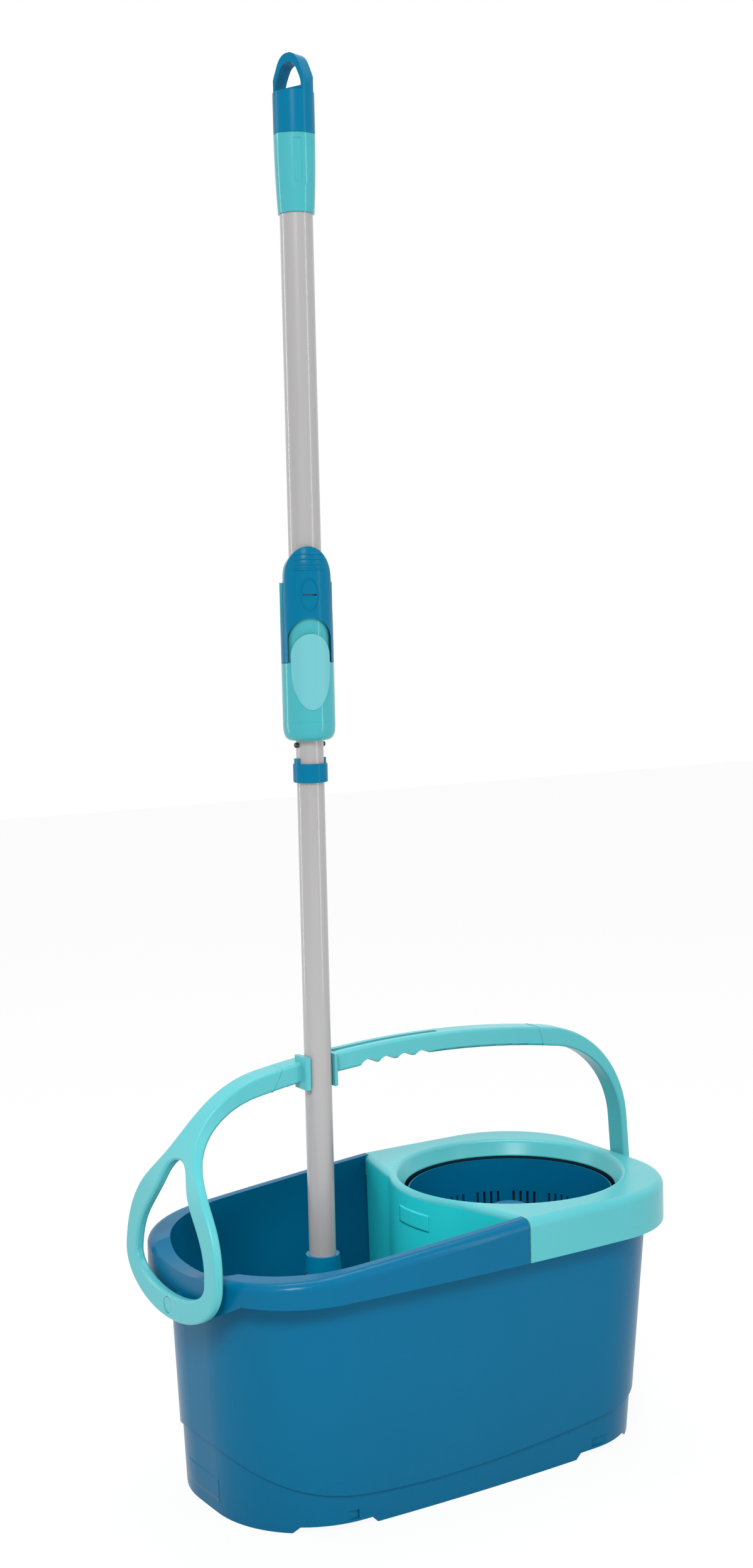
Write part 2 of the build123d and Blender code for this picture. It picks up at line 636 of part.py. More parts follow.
def spin_basket():
    """Tapered basket with drain slots and a centre sleeve."""
    low_r = BASKET_R - BASKET_TAPER
    floor_top = BASKET_FLOOR_Z + BASKET_FLOOR
    body = turned([
        (BUSH_R_OUT + SEAT_FIT, BASKET_FLOOR_Z), (low_r, BASKET_FLOOR_Z),
        (BASKET_R, BASKET_TOP_Z - BASKET_BEAD),
        (BASKET_R - BASKET_BEAD, BASKET_TOP_Z), (BASKET_R - BASKET_WALL, BASKET_TOP_Z),
        (low_r - BASKET_WALL, floor_top), (SLEEVE_R, floor_top), (SLEEVE_R, floor_top + SLEEVE_HEIGHT),
        (BUSH_R_OUT + SEAT_FIT, floor_top + SLEEVE_HEIGHT),
    ])
    slot = Pos(BASKET_R, 0, SLOT_FOOT_Z) * Box(
        4 * BASKET_TAPER, SLOT_WIDTH, SLOT_HEIGHT, align=(Align.CENTER, Align.CENTER, Align.MIN))
    first = -SLOT_PITCH * (SLOTS_PER_GROUP - 1) / 2
    slots = [
        Rot(0, 0, 360 * group / SLOT_GROUPS + first + SLOT_PITCH * i) * slot
        for group in range(SLOT_GROUPS) for i in range(SLOTS_PER_GROUP)
    ]
    return Pos(BASKET_X, 0, 0) * (body - slots)


def hub_cap():
    """Hollow cone over the basket's centre sleeve."""
    foot = BASKET_FLOOR_Z + BASKET_FLOOR + SEAT_FIT
    shoulder = HUB_TOP_R - HUB_ROUND
    outer = make_face(Plane.XZ * Polyline(
        (0, foot), (HUB_FOOT_R, foot), (HUB_TOP_R, HUB_SHOULDER_Z), (shoulder, HUB_TOP_Z), (0, HUB_TOP_Z),
        close=True))
    bends = outer.vertices().filter_by(lambda v: v.Z > HUB_SHOULDER_Z - PLAY and v.X > PLAY)
    outer = fillet(bends, HUB_ROUND / 2)
    inner = make_face(Plane.XZ * Polyline(
        (0, foot), (HUB_FOOT_R - HUB_WALL, foot), (HUB_TOP_R - HUB_WALL, HUB_SHOULDER_Z - HUB_WALL),
        (shoulder - HUB_WALL, HUB_TOP_Z - HUB_WALL), (0, HUB_TOP_Z - HUB_WALL), close=True))
    sleeve_top = BASKET_FLOOR_Z + BASKET_FLOOR + SLEEVE_HEIGHT
    grip = ring(SLEEVE_R + SEAT_FIT, SLEEVE_R + HUB_WALL, sleeve_top - 2 * HUB_ROUND, HUB_TOP_Z - HUB_WALL)
    return Pos(BASKET_X, 0, 0) * (revolve(outer, Axis.Z) - revolve(inner, Axis.Z) + grip)


def basket_bush():
    """Plain bearing pressed in the basket's sleeve."""
    foot = AXLE_SHOULDER_Z + WASHER + PLAY / 2
    high = BASKET_FLOOR_Z + BASKET_FLOOR + SLEEVE_HEIGHT
    return Pos(BASKET_X, 0, 0) * ring(AXLE_R + RUN_FIT, BUSH_R_OUT, foot, high)


AXLE_SHOULDER_Z = CUP_FLOOR_Z + CUP_FLOOR + BOSS_RISE
AXLE_FOOT_Z = CUP_FLOOR_Z - BOSS_DROP + PLAY
AXLE_TOP_Z = BASKET_FLOOR_Z + BASKET_FLOOR + SLEEVE_HEIGHT + 4 * PLAY
CLIP_Z = AXLE_TOP_Z - 2.5 * PLAY


def basket_axle():
    """Steel axle with a groove for its clip."""
    axle = post(AXLE_R, AXLE_FOOT_Z, AXLE_TOP_Z)
    axle -= ring(AXLE_R - CLIP_BITE, AXLE_R + PLAY, CLIP_Z, CLIP_Z + CLIP_THICK)
    return Pos(BASKET_X, 0, 0) * axle


def axle_washer():
    """Thrust washer under the bush."""
    low = AXLE_SHOULDER_Z + SEAT_FIT
    return Pos(BASKET_X, 0, 0) * ring(AXLE_R + SEAT_FIT, BOSS_R, low, low + WASHER - SEAT_FIT)


def axle_clip():
    """Snap clip in the axle's groove, above the bush."""
    low = CLIP_Z + SEAT_FIT
    body = ring(AXLE_R - CLIP_BITE + SEAT_FIT, CLIP_R, low, CLIP_Z + CLIP_THICK - SEAT_FIT)
    mouth = Box(CLIP_R + PLAY, AXLE_R, 4 * PLAY, align=(Align.MIN, Align.CENTER, Align.CENTER))
    return Pos(BASKET_X, 0, 0) * (body - Pos(0, 0, low) * mouth)


# Bail

def bail_profile():
    """Front view of the bail without its spout ring."""
    foot = PIVOT_Z - RING_FOOT
    lean = tan(radians(BAIL_LEAN))
    corner_z = BAIL_TOP_Z - BAIL_CROWN_DROP
    under_z = corner_z - GRIP_HEIGHT
    out_top = BAIL_HALF_SPAN - lean * (corner_z - foot)
    in_foot = BAIL_HALF_SPAN - BAIL_ARM
    in_top = in_foot - lean * (under_z - foot)
    face = make_face([
        Line((BAIL_HALF_SPAN, foot), (out_top, corner_z)),
        ThreePointArc((out_top, corner_z), (0, BAIL_TOP_Z), (-out_top, corner_z)),
        Line((-out_top, corner_z), (-BAIL_HALF_SPAN, foot)),
        Line((-BAIL_HALF_SPAN, foot), (-in_foot, foot)),
        Line((-in_foot, foot), (-in_top, under_z)),
        ThreePointArc((-in_top, under_z), (0, BAIL_TOP_Z - GRIP_HEIGHT), (in_top, under_z)),
        Line((in_top, under_z), (in_foot, foot)),
        Line((in_foot, foot), (BAIL_HALF_SPAN, foot)),
    ])

    def corners(x, z):
        return face.vertices().filter_by(lambda v: abs(abs(v.X) - x) < GAP and abs(v.Y - z) < GAP)
    face = fillet(corners(out_top, corner_z), BAIL_SHOULDER)
    return fillet(corners(in_top, under_z), BAIL_SHOULDER - GRIP_HEIGHT)


def teardrop(wide, foot, flank, tip, way):
    """Long block along X on the left with a teardrop outline; its flanks end at the tip, running way."""
    low = EllipticalCenterArc((0, RING_WIDE_Z), wide, RING_WIDE_Z - foot, 180, arc_size=180)
    right = Spline((wide, RING_WIDE_Z), flank, tip, tangents=[(0, 1), way])
    edges = [low, right, mirror(right, Plane.YZ)]
    if tip[0] > 0:
        edges.append(Line(tip, (-tip[0], tip[1])))
    near = Plane(origin=(BAIL_SHOULDER - BAIL_HALF_SPAN, 0, 0), x_dir=(0, 1, 0), z_dir=(1, 0, 0))
    return extrude(near * make_face(edges), amount=-FAR)


def bail_frame():
    """Arms and grip, with the left arm widened into a ring round the spout, and rounded edges."""
    foot = PIVOT_Z - RING_FOOT
    arch = extrude(Plane.XZ * bail_profile(), amount=BAIL_ARM_HALF, both=True)
    tip = Pos(BAIL_HALF_SPAN, 0, PIVOT_Z) * Rot(0, 90, 0) * Cylinder(BAIL_ARM_HALF, 8 * BAIL_ARM)
    below = Pos(BAIL_HALF_SPAN, 0, foot) * Box(8 * BAIL_ARM, 4 * BAIL_ARM_HALF, 2 * (PIVOT_Z - foot))
    arch -= below - tip
    arch -= half_space(x=0, above=False) & half_space(z=RING_WIDE_Z, above=False)
    band = extrude(Plane.XZ * bail_profile(), amount=2 * RING_HALF, both=True)
    ring_block = teardrop(RING_HALF, foot, (RING_FLANK_HALF, BAIL_TOP_Z - RING_FLANK_DROP),
                          (BAIL_ARM_HALF, RING_TOP_Z), (0, 1))
    eye = teardrop(RING_HALF - RING_BAND, foot + RING_BAND, (EYE_FLANK_HALF, BAIL_TOP_Z - EYE_FLANK_DROP),
                   (0, BAIL_TOP_Z - EYE_TOP_DROP), (-1, 0))
    frame = arch + (band & ring_block) - eye

    seams = frame.edges().filter_by(Axis.X) + frame.edges().filter_by(Axis.Y)
    return fillet(frame.edges() - seams, BAIL_ROUND)


def bail():
    """Carrying bail: grip, arms, spout ring and the clip that holds the pole."""
    body = bail_frame()
    front = POLE_Y - JAW_DEPTH
    back = POLE_Y + TUBE_R + CLIP_FIT
    slot = TUBE_R + CLIP_FIT
    jaws = Pos(POLE_X, front, JAW_TOP_Z) * Box(
        2 * (slot + JAW), -front, JAW_HEIGHT, align=(Align.CENTER, Align.MIN, Align.MAX))
    body += fillet(jaws.edges().filter_by(Axis.Z).sort_by(Axis.Y)[:2], JAW - PLAY)
    body -= Pos(POLE_X, 0, BAIL_TOP_Z) * Box(2 * slot, 2 * back, 4 * JAW_HEIGHT)
    body -= Pos(POLE_X, front, BAIL_TOP_Z) * Box(2 * slot, -2 * front, 4 * JAW_HEIGHT)
    length = CHANNEL_END_X - POLE_X - slot - 2 * JAW
    channel = Pos(CHANNEL_END_X - length / 2, 0, BAIL_TOP_Z) * Box(length, CHANNEL_WIDTH, 4 * CHANNEL_DEPTH)
    body -= channel & (Pos(0, 0, -CHANNEL_DEPTH) * extrude(
        Plane.XZ * Pos(0, GRIP_HEIGHT) * bail_profile(), amount=BAIL_ARM_HALF, both=True))
    for i in range(SCALLOPS):
        x = SCALLOP_START_X + SCALLOP_PITCH * i
        body -= bar_y(SCALLOP_R, -FAR, FAR, x, BAIL_TOP_Z - GRIP_HEIGHT + SCALLOP_DEPTH - SCALLOP_R)
    for end in (-1, 1):
        body -= along_x(PIVOT_R + RUN_FIT, end, BOSS_TIP - PLAY, BAIL_HALF_SPAN + PLAY, PIVOT_Z)
        body -= along_x(PIN_HEAD_R + CLIP_FIT, end, PIN_SEAT, BAIL_HALF_SPAN + PLAY, PIVOT_Z)
    return body


PIN_SEAT = BAIL_HALF_SPAN - PIN_HEAD - PLAY - 1.5 * CLIP_FIT


def bail_pins():
    """Two headed pins that carry the bail."""
    pins = []
    for end in (-1, 1):
        under_head = PIN_SEAT + CLIP_FIT
        pin = along_x(PIVOT_R, end, BOSS_TIP - PIVOT_DEPTH + PLAY, under_head + PLAY, PIVOT_Z)
        pins.append(pin + along_x(PIN_HEAD_R, end, under_head, under_head + PIN_HEAD, PIVOT_Z))
    return Compound(children=pins)


# Mop head

def mop_pad():
    """Textile pad with a hem that wraps the plate's edge."""
    top = PLATE_Z + PLATE + PAD_HEM
    low_r = PAD_R - PAD_LAP
    face = make_face(Plane.XZ * Polyline(
        (0, PAD_Z), (low_r, PAD_Z), (PAD_R, (PAD_Z + top) / 2), (PAD_R - PAD_HEM, top),
        (PLATE_R - PAD_LAP, top),
        (PLATE_R - PAD_LAP, PLATE_Z + PLATE + SEAT_FIT), (PLATE_R + SEAT_FIT, PLATE_Z + PLATE + SEAT_FIT),
        (PLATE_R + SEAT_FIT, PLATE_Z - SEAT_FIT), (0, PLATE_Z - SEAT_FIT), close=True))
    edge = face.vertices().filter_by(lambda v: v.X > PLATE_R + PLAY and v.Z < top - PLAY)
    return on_pole(revolve(fillet(edge, PAD_LAP / 2), Axis.Z))


def mop_plate():
    """Round plate with the two ears of the swivel."""
    plate = post(PLATE_R, PLATE_Z, PLATE_Z + PLATE)
    near = TONGUE / 2 + GAP
    for side in (-1, 1):
        x = side * (near + EAR / 2)
        ear = Pos(x, 0, SWIVEL_Z) * Rot(0, 90, 0) * Cylinder(EAR_R, EAR)
        ear += Pos(x, 0, PLATE_Z + PLATE) * Box(
            EAR, 2 * EAR_R, PLATE_DROP, align=(Align.CENTER, Align.CENTER, Align.MIN))
        plate += ear
        rib_x = side * (near + PLAY + PLATE_R / 4)
        plate += Pos(rib_x, 0, PLATE_Z + PLATE) * Box(
            PLATE_R / 2, PLATE, 2 * PLATE, align=(Align.CENTER, Align.CENTER, Align.MIN))
    return on_pole(plate - bar_x(SWIVEL_R + SEAT_FIT, -FAR, FAR, z=SWIVEL_Z))


def swivel_pin():
    """Pin through the ears and the socket's tongue."""
    reach = TONGUE / 2 + GAP + EAR
    return on_pole(bar_x(SWIVEL_R, -reach, reach, z=SWIVEL_Z))


def mop_socket():
    """Moulded socket: tongue at the foot, tapered sleeve for the lower tube above."""
    foot = SOCKET_Z - SOCKET_BODY
    face = make_face(Plane.XZ * Polyline(
        (0, foot), (TONGUE, foot), (SOCKET_WAIST_R, foot + TONGUE),
        (SOCKET_WAIST_R - PLAY, SOCKET_Z - SOCKET_SCREW_DROP),
        (SOCKET_MOUTH_R, SOCKET_Z), (0, SOCKET_Z), close=True))
    bends = face.vertices().filter_by(lambda v: v.X > TONGUE + PLAY and foot + PLAY < v.Z < SOCKET_Z - PLAY)
    sleeve = revolve(fillet(bends, TONGUE), Axis.Z) - post(TUBE_R + SEAT_FIT, TUBE_FOOT_Z, SOCKET_Z + PLAY)
    tongue = Pos(0, 0, SWIVEL_Z) * Box(
        TONGUE, TONGUE_WIDTH, foot - SWIVEL_Z + PLAY, align=(Align.CENTER, Align.CENTER, Align.MIN))
    tongue += bar_x(TONGUE_WIDTH / 2, -TONGUE / 2, TONGUE / 2, z=SWIVEL_Z)
    body = sleeve + tongue - bar_x(SWIVEL_R + RUN_FIT, -TONGUE, TONGUE, z=SWIVEL_Z)
    body -= bar_x(SOCKET_SCREW_R + SEAT_FIT, -FAR, -TUBE_BORE_R, z=SOCKET_Z - SOCKET_SCREW_DROP)
    seat = bar_x(SOCKET_SCREW_HEAD_R + CLIP_FIT, -FAR, SCREW_SEAT_X, z=SOCKET_Z - SOCKET_SCREW_DROP)
    return on_pole(body - seat)


SCREW_SEAT_X = -(SOCKET_WAIST_R - SOCKET_SCREW_HEAD)


def socket_screw():
    """Pan-head screw that holds the tube in the socket."""
    z = SOCKET_Z - SOCKET_SCREW_DROP
    screw = bar_x(SOCKET_SCREW_R, SCREW_SEAT_X - PLAY, -TUBE_BORE_R + 4 * PLAY, z=z)
    head = bar_x(SOCKET_SCREW_HEAD_R, SCREW_SEAT_X - SOCKET_SCREW_HEAD, SCREW_SEAT_X - SEAT_FIT, z=z)
    slot = Pos(SCREW_SEAT_X - SOCKET_SCREW_HEAD, 0, z) * Box(2 * PLAY, PLAY, 3 * SOCKET_SCREW_HEAD_R)
    return on_pole(screw + head - slot)


def lower_tube():
    """Lower tube, from the socket up into the upper tube."""
    tube = ring(TUBE_BORE_R, TUBE_R, TUBE_FOOT_Z + SEAT_FIT, NUT_Z)
    tube -= bar_x(SOCKET_SCREW_R + SEAT_FIT, -2 * TUBE_R, 0, z=SOCKET_Z - SOCKET_SCREW_DROP)
    tube -= bar_x(BUTTON_R + RUN_FIT, -2 * TUBE_R, 2 * TUBE_R, z=BUTTON_Z)
    return on_pole(tube)


def release_collar():
    """Sliding collar with two lugs that press the lock buttons."""
    body = ring(TUBE_R + RUN_FIT, COLLAR_R, COLLAR_Z, COLLAR_Z + COLLAR)
    ends = body.edges().filter_by(GeomType.CIRCLE).filter_by(lambda e: e.radius > COLLAR_R - PLAY)
    body = fillet(ends, PLAY)
    lugs = ring(TUBE_R + RUN_FIT, COLLAR_R - PLAY / 2, COLLAR_Z + PLAY, COLLAR_Z + COLLAR + LUG)
    lugs &= Pos(0, 0, COLLAR_Z) * Box(4 * COLLAR_R, LUG_WIDTH, 4 * COLLAR)
    return on_pole(body + lugs)


def lock_button(side):
    """Sprung button that locks the tubes; side is -1 or 1."""
    tip = TUBE_R + BUTTON_OUT
    root = sqrt(TUBE_BORE_R ** 2 - BUTTON_FLANGE_R ** 2) - BUTTON_FLANGE - GAP / 2
    body = along_x(BUTTON_R, side, root, tip, BUTTON_Z)
    crown = body.edges().filter_by(GeomType.CIRCLE).sort_by(Axis.X)
    body = fillet(crown[-1] if side > 0 else crown[0], PLAY)
    return on_pole(body + along_x(BUTTON_FLANGE_R, side, root, root + BUTTON_FLANGE, BUTTON_Z))


def button_spring():
    """Leaf spring pack that sits across the tube between the two buttons."""
    leaf = Pos(0, 0, BUTTON_Z) * Box(PLAY, 4 * BUTTON_FLANGE_R, 4 * BUTTON_FLANGE_R)
    low = BUTTON_Z - 2 * BUTTON_FLANGE_R
    high = BUTTON_Z + 2 * BUTTON_FLANGE_R
    saddle = ring(TUBE_BORE_R - PLAY, TUBE_BORE_R - SEAT_FIT, low, high)
    saddle &= Pos(0, 0, BUTTON_Z) * Box(2 * BUTTON_R, 4 * TUBE_R, FAR)
    bridge = Pos(0, 0, BUTTON_Z) * Box(PLAY, 2 * TUBE_BORE_R - PLAY, 4 * BUTTON_FLANGE_R)
    return on_pole(leaf + bridge + saddle)


# Grip unit

def bearing_cap():
    """Bowl that closes the foot of the grip housing."""
    top = HOUSING_Z - SEAT_FIT
    bend = top - CAP_BAND
    inner = HOUSING_R - HOUSING_WALL
    foot = CAP_Z + BUSH_FOOT
    seat = BUSH_R + SEAT_FIT
    face = make_face([
        Line((CAP_MOUTH_R, CAP_Z), (CAP_FLAT_R, CAP_Z)),
        Spline((CAP_FLAT_R, CAP_Z), (HOUSING_R, bend), tangents=[(1, 0), (0, 1)]),
        Line((HOUSING_R, bend), (HOUSING_R, top)),
        Line((HOUSING_R, top), (inner, top)),
        Line((inner, top), (inner, CAP_Z + CAP_SEAT)),
        Line((inner, CAP_Z + CAP_SEAT), (seat, foot)),
        Line((seat, foot), (CAP_MOUTH_R, foot)),
        Line((CAP_MOUTH_R, foot), (CAP_MOUTH_R, CAP_Z)),
    ])
    return on_pole(revolve(Plane.XZ * face, Axis.Z))


def lower_bush():
    """Bearing of the lower tube in the cap."""
    low = CAP_Z + BUSH_FOOT + SEAT_FIT
    body = ring(TUBE_R + RUN_FIT, BUSH_R, low, low + BUSH - SEAT_FIT)
    flange_r = HOUSING_R - HOUSING_WALL - SEAT_FIT
    flange = ring(TUBE_R + RUN_FIT, flange_r, CAP_Z + CAP_SEAT + SEAT_FIT, low + BUSH - SEAT_FIT)
    return on_pole(body + flange)


def retaining_ring():
    """Ring fixed on the lower tube above its bearing, which carries the head's weight."""
    return on_pole(ring(TUBE_R + SEAT_FIT, RETAINER_R, RETAINER_Z, RETAINER_Z + RETAINER))


def housing_solid():
    """Grip housing before it is split: wide foot, neck for the upper tube and the raised bump in front."""
    body = turned([
        (HOUSING_R - HOUSING_WALL, HOUSING_Z), (HOUSING_R, HOUSING_Z), (HOUSING_R, SHOULDER_Z),
        (HOUSING_TOP_R, SHOULDER_Z), (HOUSING_TOP_R, HOUSING_TOP_Z), (HOUSING_BORE_R, HOUSING_TOP_Z),
        (HOUSING_BORE_R, SHOULDER_Z - HOUSING_WALL), (HOUSING_R - HOUSING_WALL, SHOULDER_Z - HOUSING_WALL),
    ])
    shell = ring(HOUSING_TOP_R, HOUSING_R, SHOULDER_Z, HOUSING_TOP_Z)
    back = half_space(y=GAP / 2)
    bump = extrude(Plane.XZ * arch_face(BUMP_GAP), amount=2 * HOUSING_R)
    body += shell & (back & half_space(z=HOUSING_TOP_Z - HOUSING_LIP, above=False) + bump)
    body -= extrude(Plane.XZ * oval_face(SEAT_FIT), amount=2 * HOUSING_R) - post(
        HOUSING_R - PAD_OVAL_THICK + PAD_OVAL_PROUD, HOUSING_Z, HOUSING_TOP_Z)
    return body


def arch_face(inset):
    """Arched window of the lock slider, drawn in by inset."""
    spring = SHOULDER_Z + ARCH_RISE - ARCH_CROWN
    legs = Pos(0, SHOULDER_Z) * Rectangle(
        2 * (ARCH_HALF - inset), ARCH_RISE - ARCH_CROWN, align=(Align.CENTER, Align.MIN))
    crown = Pos(0, spring) * Ellipse(ARCH_HALF - inset, ARCH_CROWN - inset)
    return (legs + crown) & above_line(SHOULDER_Z)


def oval_face(grow):
    """Outline of the oval palm pad, fuller at its top."""
    middle = HOUSING_Z + PAD_OVAL_RISE
    half = PAD_OVAL_HALF + grow
    foot = Pos(0, middle) * Ellipse(half, PAD_OVAL_FOOT + grow) - above_line(middle)
    sides = Pos(0, middle) * Rectangle(2 * half, PAD_OVAL_SIDE, align=(Align.CENTER, Align.MIN))
    spring = middle + PAD_OVAL_SIDE
    crown = Pos(0, spring) * Ellipse(half, PAD_OVAL_CROWN + grow) & above_line(spring)
    return foot + sides + crown


def above_line(low):
    """Wide rectangle above a height, for cutting front views."""
    return Pos(0, low) * Rectangle(FAR, FAR, align=(Align.CENTER, Align.MIN))


def housing_screw_holes(radius, head):
    """Screw bars through the housing's two side bosses, from the back."""
    bars = []
    for side in (-1, 1):
        x = side * HOUSING_SCREW_X
        z = HOUSING_Z + HOUSING_SCREW_RISE
        bars.append(bar_y(radius, -HOUSING_SCREW_DEPTH, HOUSING_SCREW_SEAT, x, z))
        bars.append(bar_y(head, HOUSING_SCREW_SEAT, HOUSING_SCREW_SEAT + HOUSING_SCREW_HEAD, x, z))
    return bars


def housing_bosses():
    """Two bosses inside the housing's foot, clear of the retaining ring."""
    span = 2 * HOUSING_SCREW_DEPTH + 2 * PLAY
    block = Pos(0, 0, HOUSING_Z + HOUSING_SCREW_RISE) * Box(2 * HOUSING_R, span, HOUSING_BOSS)
    return block & ring(HOUSING_BORE_R + PLAY, HOUSING_R - PLAY, HOUSING_Z, SHOULDER_Z)


def grip_housing(side):
    """One half of the housing; side is -1 for the front and 1 for the back."""
    body = housing_solid() + housing_bosses()
    body -= housing_screw_holes(HOUSING_SCREW_R + SEAT_FIT, HOUSING_SCREW_HEAD_R + SEAT_FIT)
    bush_top = UPPER_BUSH_Z + UPPER_BUSH
    body -= ring(UPPER_R, UPPER_BUSH_R + SEAT_FIT, UPPER_BUSH_Z - SEAT_FIT, bush_top + SEAT_FIT)
    return on_pole(body & half_space(y=side * SEAT_FIT / 2, above=side > 0), GRIP_TURN)


def grip_housing_front():
    """Front half of the housing, with the bump and the seat of the palm pad."""
    return grip_housing(-1)


def grip_housing_back():
    """Back half of the housing."""
    return grip_housing(1)


def palm_pad():
    """Oval soft pad let into the housing's front."""
    outer = HOUSING_R + PAD_OVAL_PROUD
    shell = ring(outer - PAD_OVAL_THICK + SEAT_FIT, outer, HOUSING_Z - PLAY, HOUSING_TOP_Z)
    return on_pole(shell & extrude(Plane.XZ * oval_face(0), amount=2 * HOUSING_R), GRIP_TURN)


def housing_screws():
    """Two screws that join the halves of the housing."""
    bars = housing_screw_holes(HOUSING_SCREW_R, HOUSING_SCREW_HEAD_R)
    screws = [on_pole(bars[0] + bars[1], GRIP_TURN), on_pole(bars[2] + bars[3], GRIP_TURN)]
    return Compound(children=screws)


def upper_bush():
    """Bearing of the upper tube in the top of the housing."""
    body = ring(UPPER_R + RUN_FIT, UPPER_BUSH_R, UPPER_BUSH_Z, UPPER_BUSH_Z + UPPER_BUSH)
    return on_pole(body)


def lock_slider():
    """Thumb slider over the front of the housing, with grip ridges and a small window."""
    inner = HOUSING_TOP_R + SLIDER_FIT
    outer = inner + SLIDER_WALL
    foot = SHOULDER_Z + GAP
    top = SHOULDER_Z + SLIDER_RISE
    neck = HOUSING_TOP_Z + PLAY
    nose = UPPER_R + NOSE_GAP
    body = revolve(Plane.XZ * make_face([
        Line((inner, foot), (outer, foot)),
        Line((outer, foot), (outer, neck)),
        Spline((outer, neck), (nose_radius(outer, 0.5), (neck + top) / 2), (nose + NOSE_WALL, top)),
        Line((nose + NOSE_WALL, top), (nose, top)),
        Line((nose, top), (inner, neck)),
        Line((inner, neck), (inner, foot)),
    ]), Axis.Z)
    front = extrude(Plane.XZ * slider_face(), amount=2 * HOUSING_R)
    body &= front & half_space(y=-GAP / 2, above=False)
    body -= extrude(Plane.XZ * arch_face(0), amount=2 * HOUSING_R)
    for i in range(RIDGES):
        rise = RIDGE_RISE + RIDGE_PITCH * i
        bead = Pos(0, 0, neck + rise) * Torus(nose_radius(outer, rise / (top - neck)), RIDGE_R)
        body += bead & (Pos(0, -outer, 0) * Box(RIDGE_SPAN, 2 * outer - PLAY, 4 * FAR))
    window_z = SHOULDER_Z + WINDOW_RISE
    oval = Ellipse(FRAME_HALF, FRAME_HEIGHT / 2)
    oval -= Ellipse(FRAME_HALF - FRAME_BEAD, FRAME_HEIGHT / 2 - FRAME_BEAD)
    bead = extrude(Plane.XZ * Pos(0, window_z) * oval, amount=2 * HOUSING_R)
    body += bead & ring(outer - SLIDER_WALL / 2, outer + FRAME_PROUD, foot, neck)
    window = Pos(0, -outer, window_z) * Box(2 * WINDOW_HALF, 4 * SLIDER_WALL, WINDOW_HEIGHT)
    return on_pole(body - window, GRIP_TURN)


def nose_radius(base, share):
    """Outer radius of the slider's rounded nose, a share of the way up from its base."""
    return base - (base - UPPER_R - NOSE_GAP - NOSE_WALL) * share ** 2


def slider_face():
    """Front view of the slider: skirts that draw in towards a rounded top."""
    half = HOUSING_R + PLAY
    top = SHOULDER_Z + SLIDER_RISE
    spring = top - SLIDER_DOME
    skirts = make_face(Polyline(
        (-half, SHOULDER_Z), (half, SHOULDER_Z), (SLIDER_DOME_HALF, spring), (-SLIDER_DOME_HALF, spring),
        close=True))
    dome = Pos(0, spring) * Ellipse(SLIDER_DOME_HALF, SLIDER_DOME) & above_line(spring)
    return skirts + dome


# Upper handle

def upper_tube():
    """Upper tube, from the housing up into the top grip."""
    return on_pole(ring(UPPER_BORE_R, UPPER_R, UPPER_END_Z, CAP_FOOT_Z - 6 * PLAY))


def spiral_nut():
    """Nut in the top of the lower tube, turned by the twisted rod."""
    body = post(UPPER_BORE_R - RUN_FIT, NUT_Z + SEAT_FIT, NUT_Z + NUT)
    body += post(TUBE_BORE_R - SEAT_FIT, NUT_Z - NUT_SPIGOT, NUT_Z + NUT)
    return on_pole(body - twisted(NUT_Z - NUT_SPIGOT - PLAY, NUT_Z + NUT + PLAY, ROD_PLAY))


def twisted(low, high, grow):
    """Right-handed twisted bar between two heights, in step with the rod's twist."""
    turn = 360 * (high - low) / ROD_LEAD
    start = 360 * (low - ROD_FOOT_Z) / ROD_LEAD
    section = Pos(0, 0, low) * Rot(0, 0, start) * Rectangle(ROD_WIDTH + 2 * grow, ROD_THICK + 2 * grow)
    return Solid.extrude_linear_with_rotation(section.face(), (0, 0, low), (0, 0, high - low), turn)


def drive_rod():
    """Twisted rod that hangs from the anchor and turns the nut."""
    return on_pole(twisted(ROD_FOOT_Z, ANCHOR_Z, 0) + post(ROD_HEAD_R, ANCHOR_Z, ANCHOR_Z + ANCHOR / 2))


def rod_anchor():
    """Plug fixed in the upper tube that holds the rod."""
    body = post(UPPER_BORE_R - SEAT_FIT, ANCHOR_Z + SEAT_FIT, ANCHOR_Z + ANCHOR)
    return on_pole(body - post(ROD_HEAD_R + SEAT_FIT, ANCHOR_Z, ANCHOR_Z + ANCHOR / 2 + SEAT_FIT))


def top_grip():
    """Moulded grip at the top, with a flattened front and a bare recess."""
    middle_r = (TOP_GRIP_FOOT_R + TOP_GRIP_R) / 2 + GRIP_SWELL
    face = make_face([
        Line((UPPER_R + SEAT_FIT, GRIP_Z), (TOP_GRIP_FOOT_R, GRIP_Z)),
        ThreePointArc((TOP_GRIP_FOOT_R, GRIP_Z), (middle_r, GRIP_Z + TOP_GRIP / 2), (TOP_GRIP_R, CAP_FOOT_Z)),
        Line((TOP_GRIP_R, CAP_FOOT_Z), (UPPER_R + SEAT_FIT, CAP_FOOT_Z)),
        Line((UPPER_R + SEAT_FIT, CAP_FOOT_Z), (UPPER_R + SEAT_FIT, GRIP_Z)),
    ])
    body = revolve(Plane.XZ * face, Axis.Z)
    front = -TOP_GRIP_R + GRIP_FACET
    body &= Pos(0, front + FACET_R, 0) * post(FACET_R, GRIP_Z - PLAY, CAP_FOOT_Z + PLAY)
    recess = Pos(0, front, CAP_FOOT_Z - LABEL_DROP) * Box(LABEL_WIDTH, 2 * LABEL_DEPTH, LABEL_HEIGHT)
    return on_pole(body - recess, GRIP_TURN)


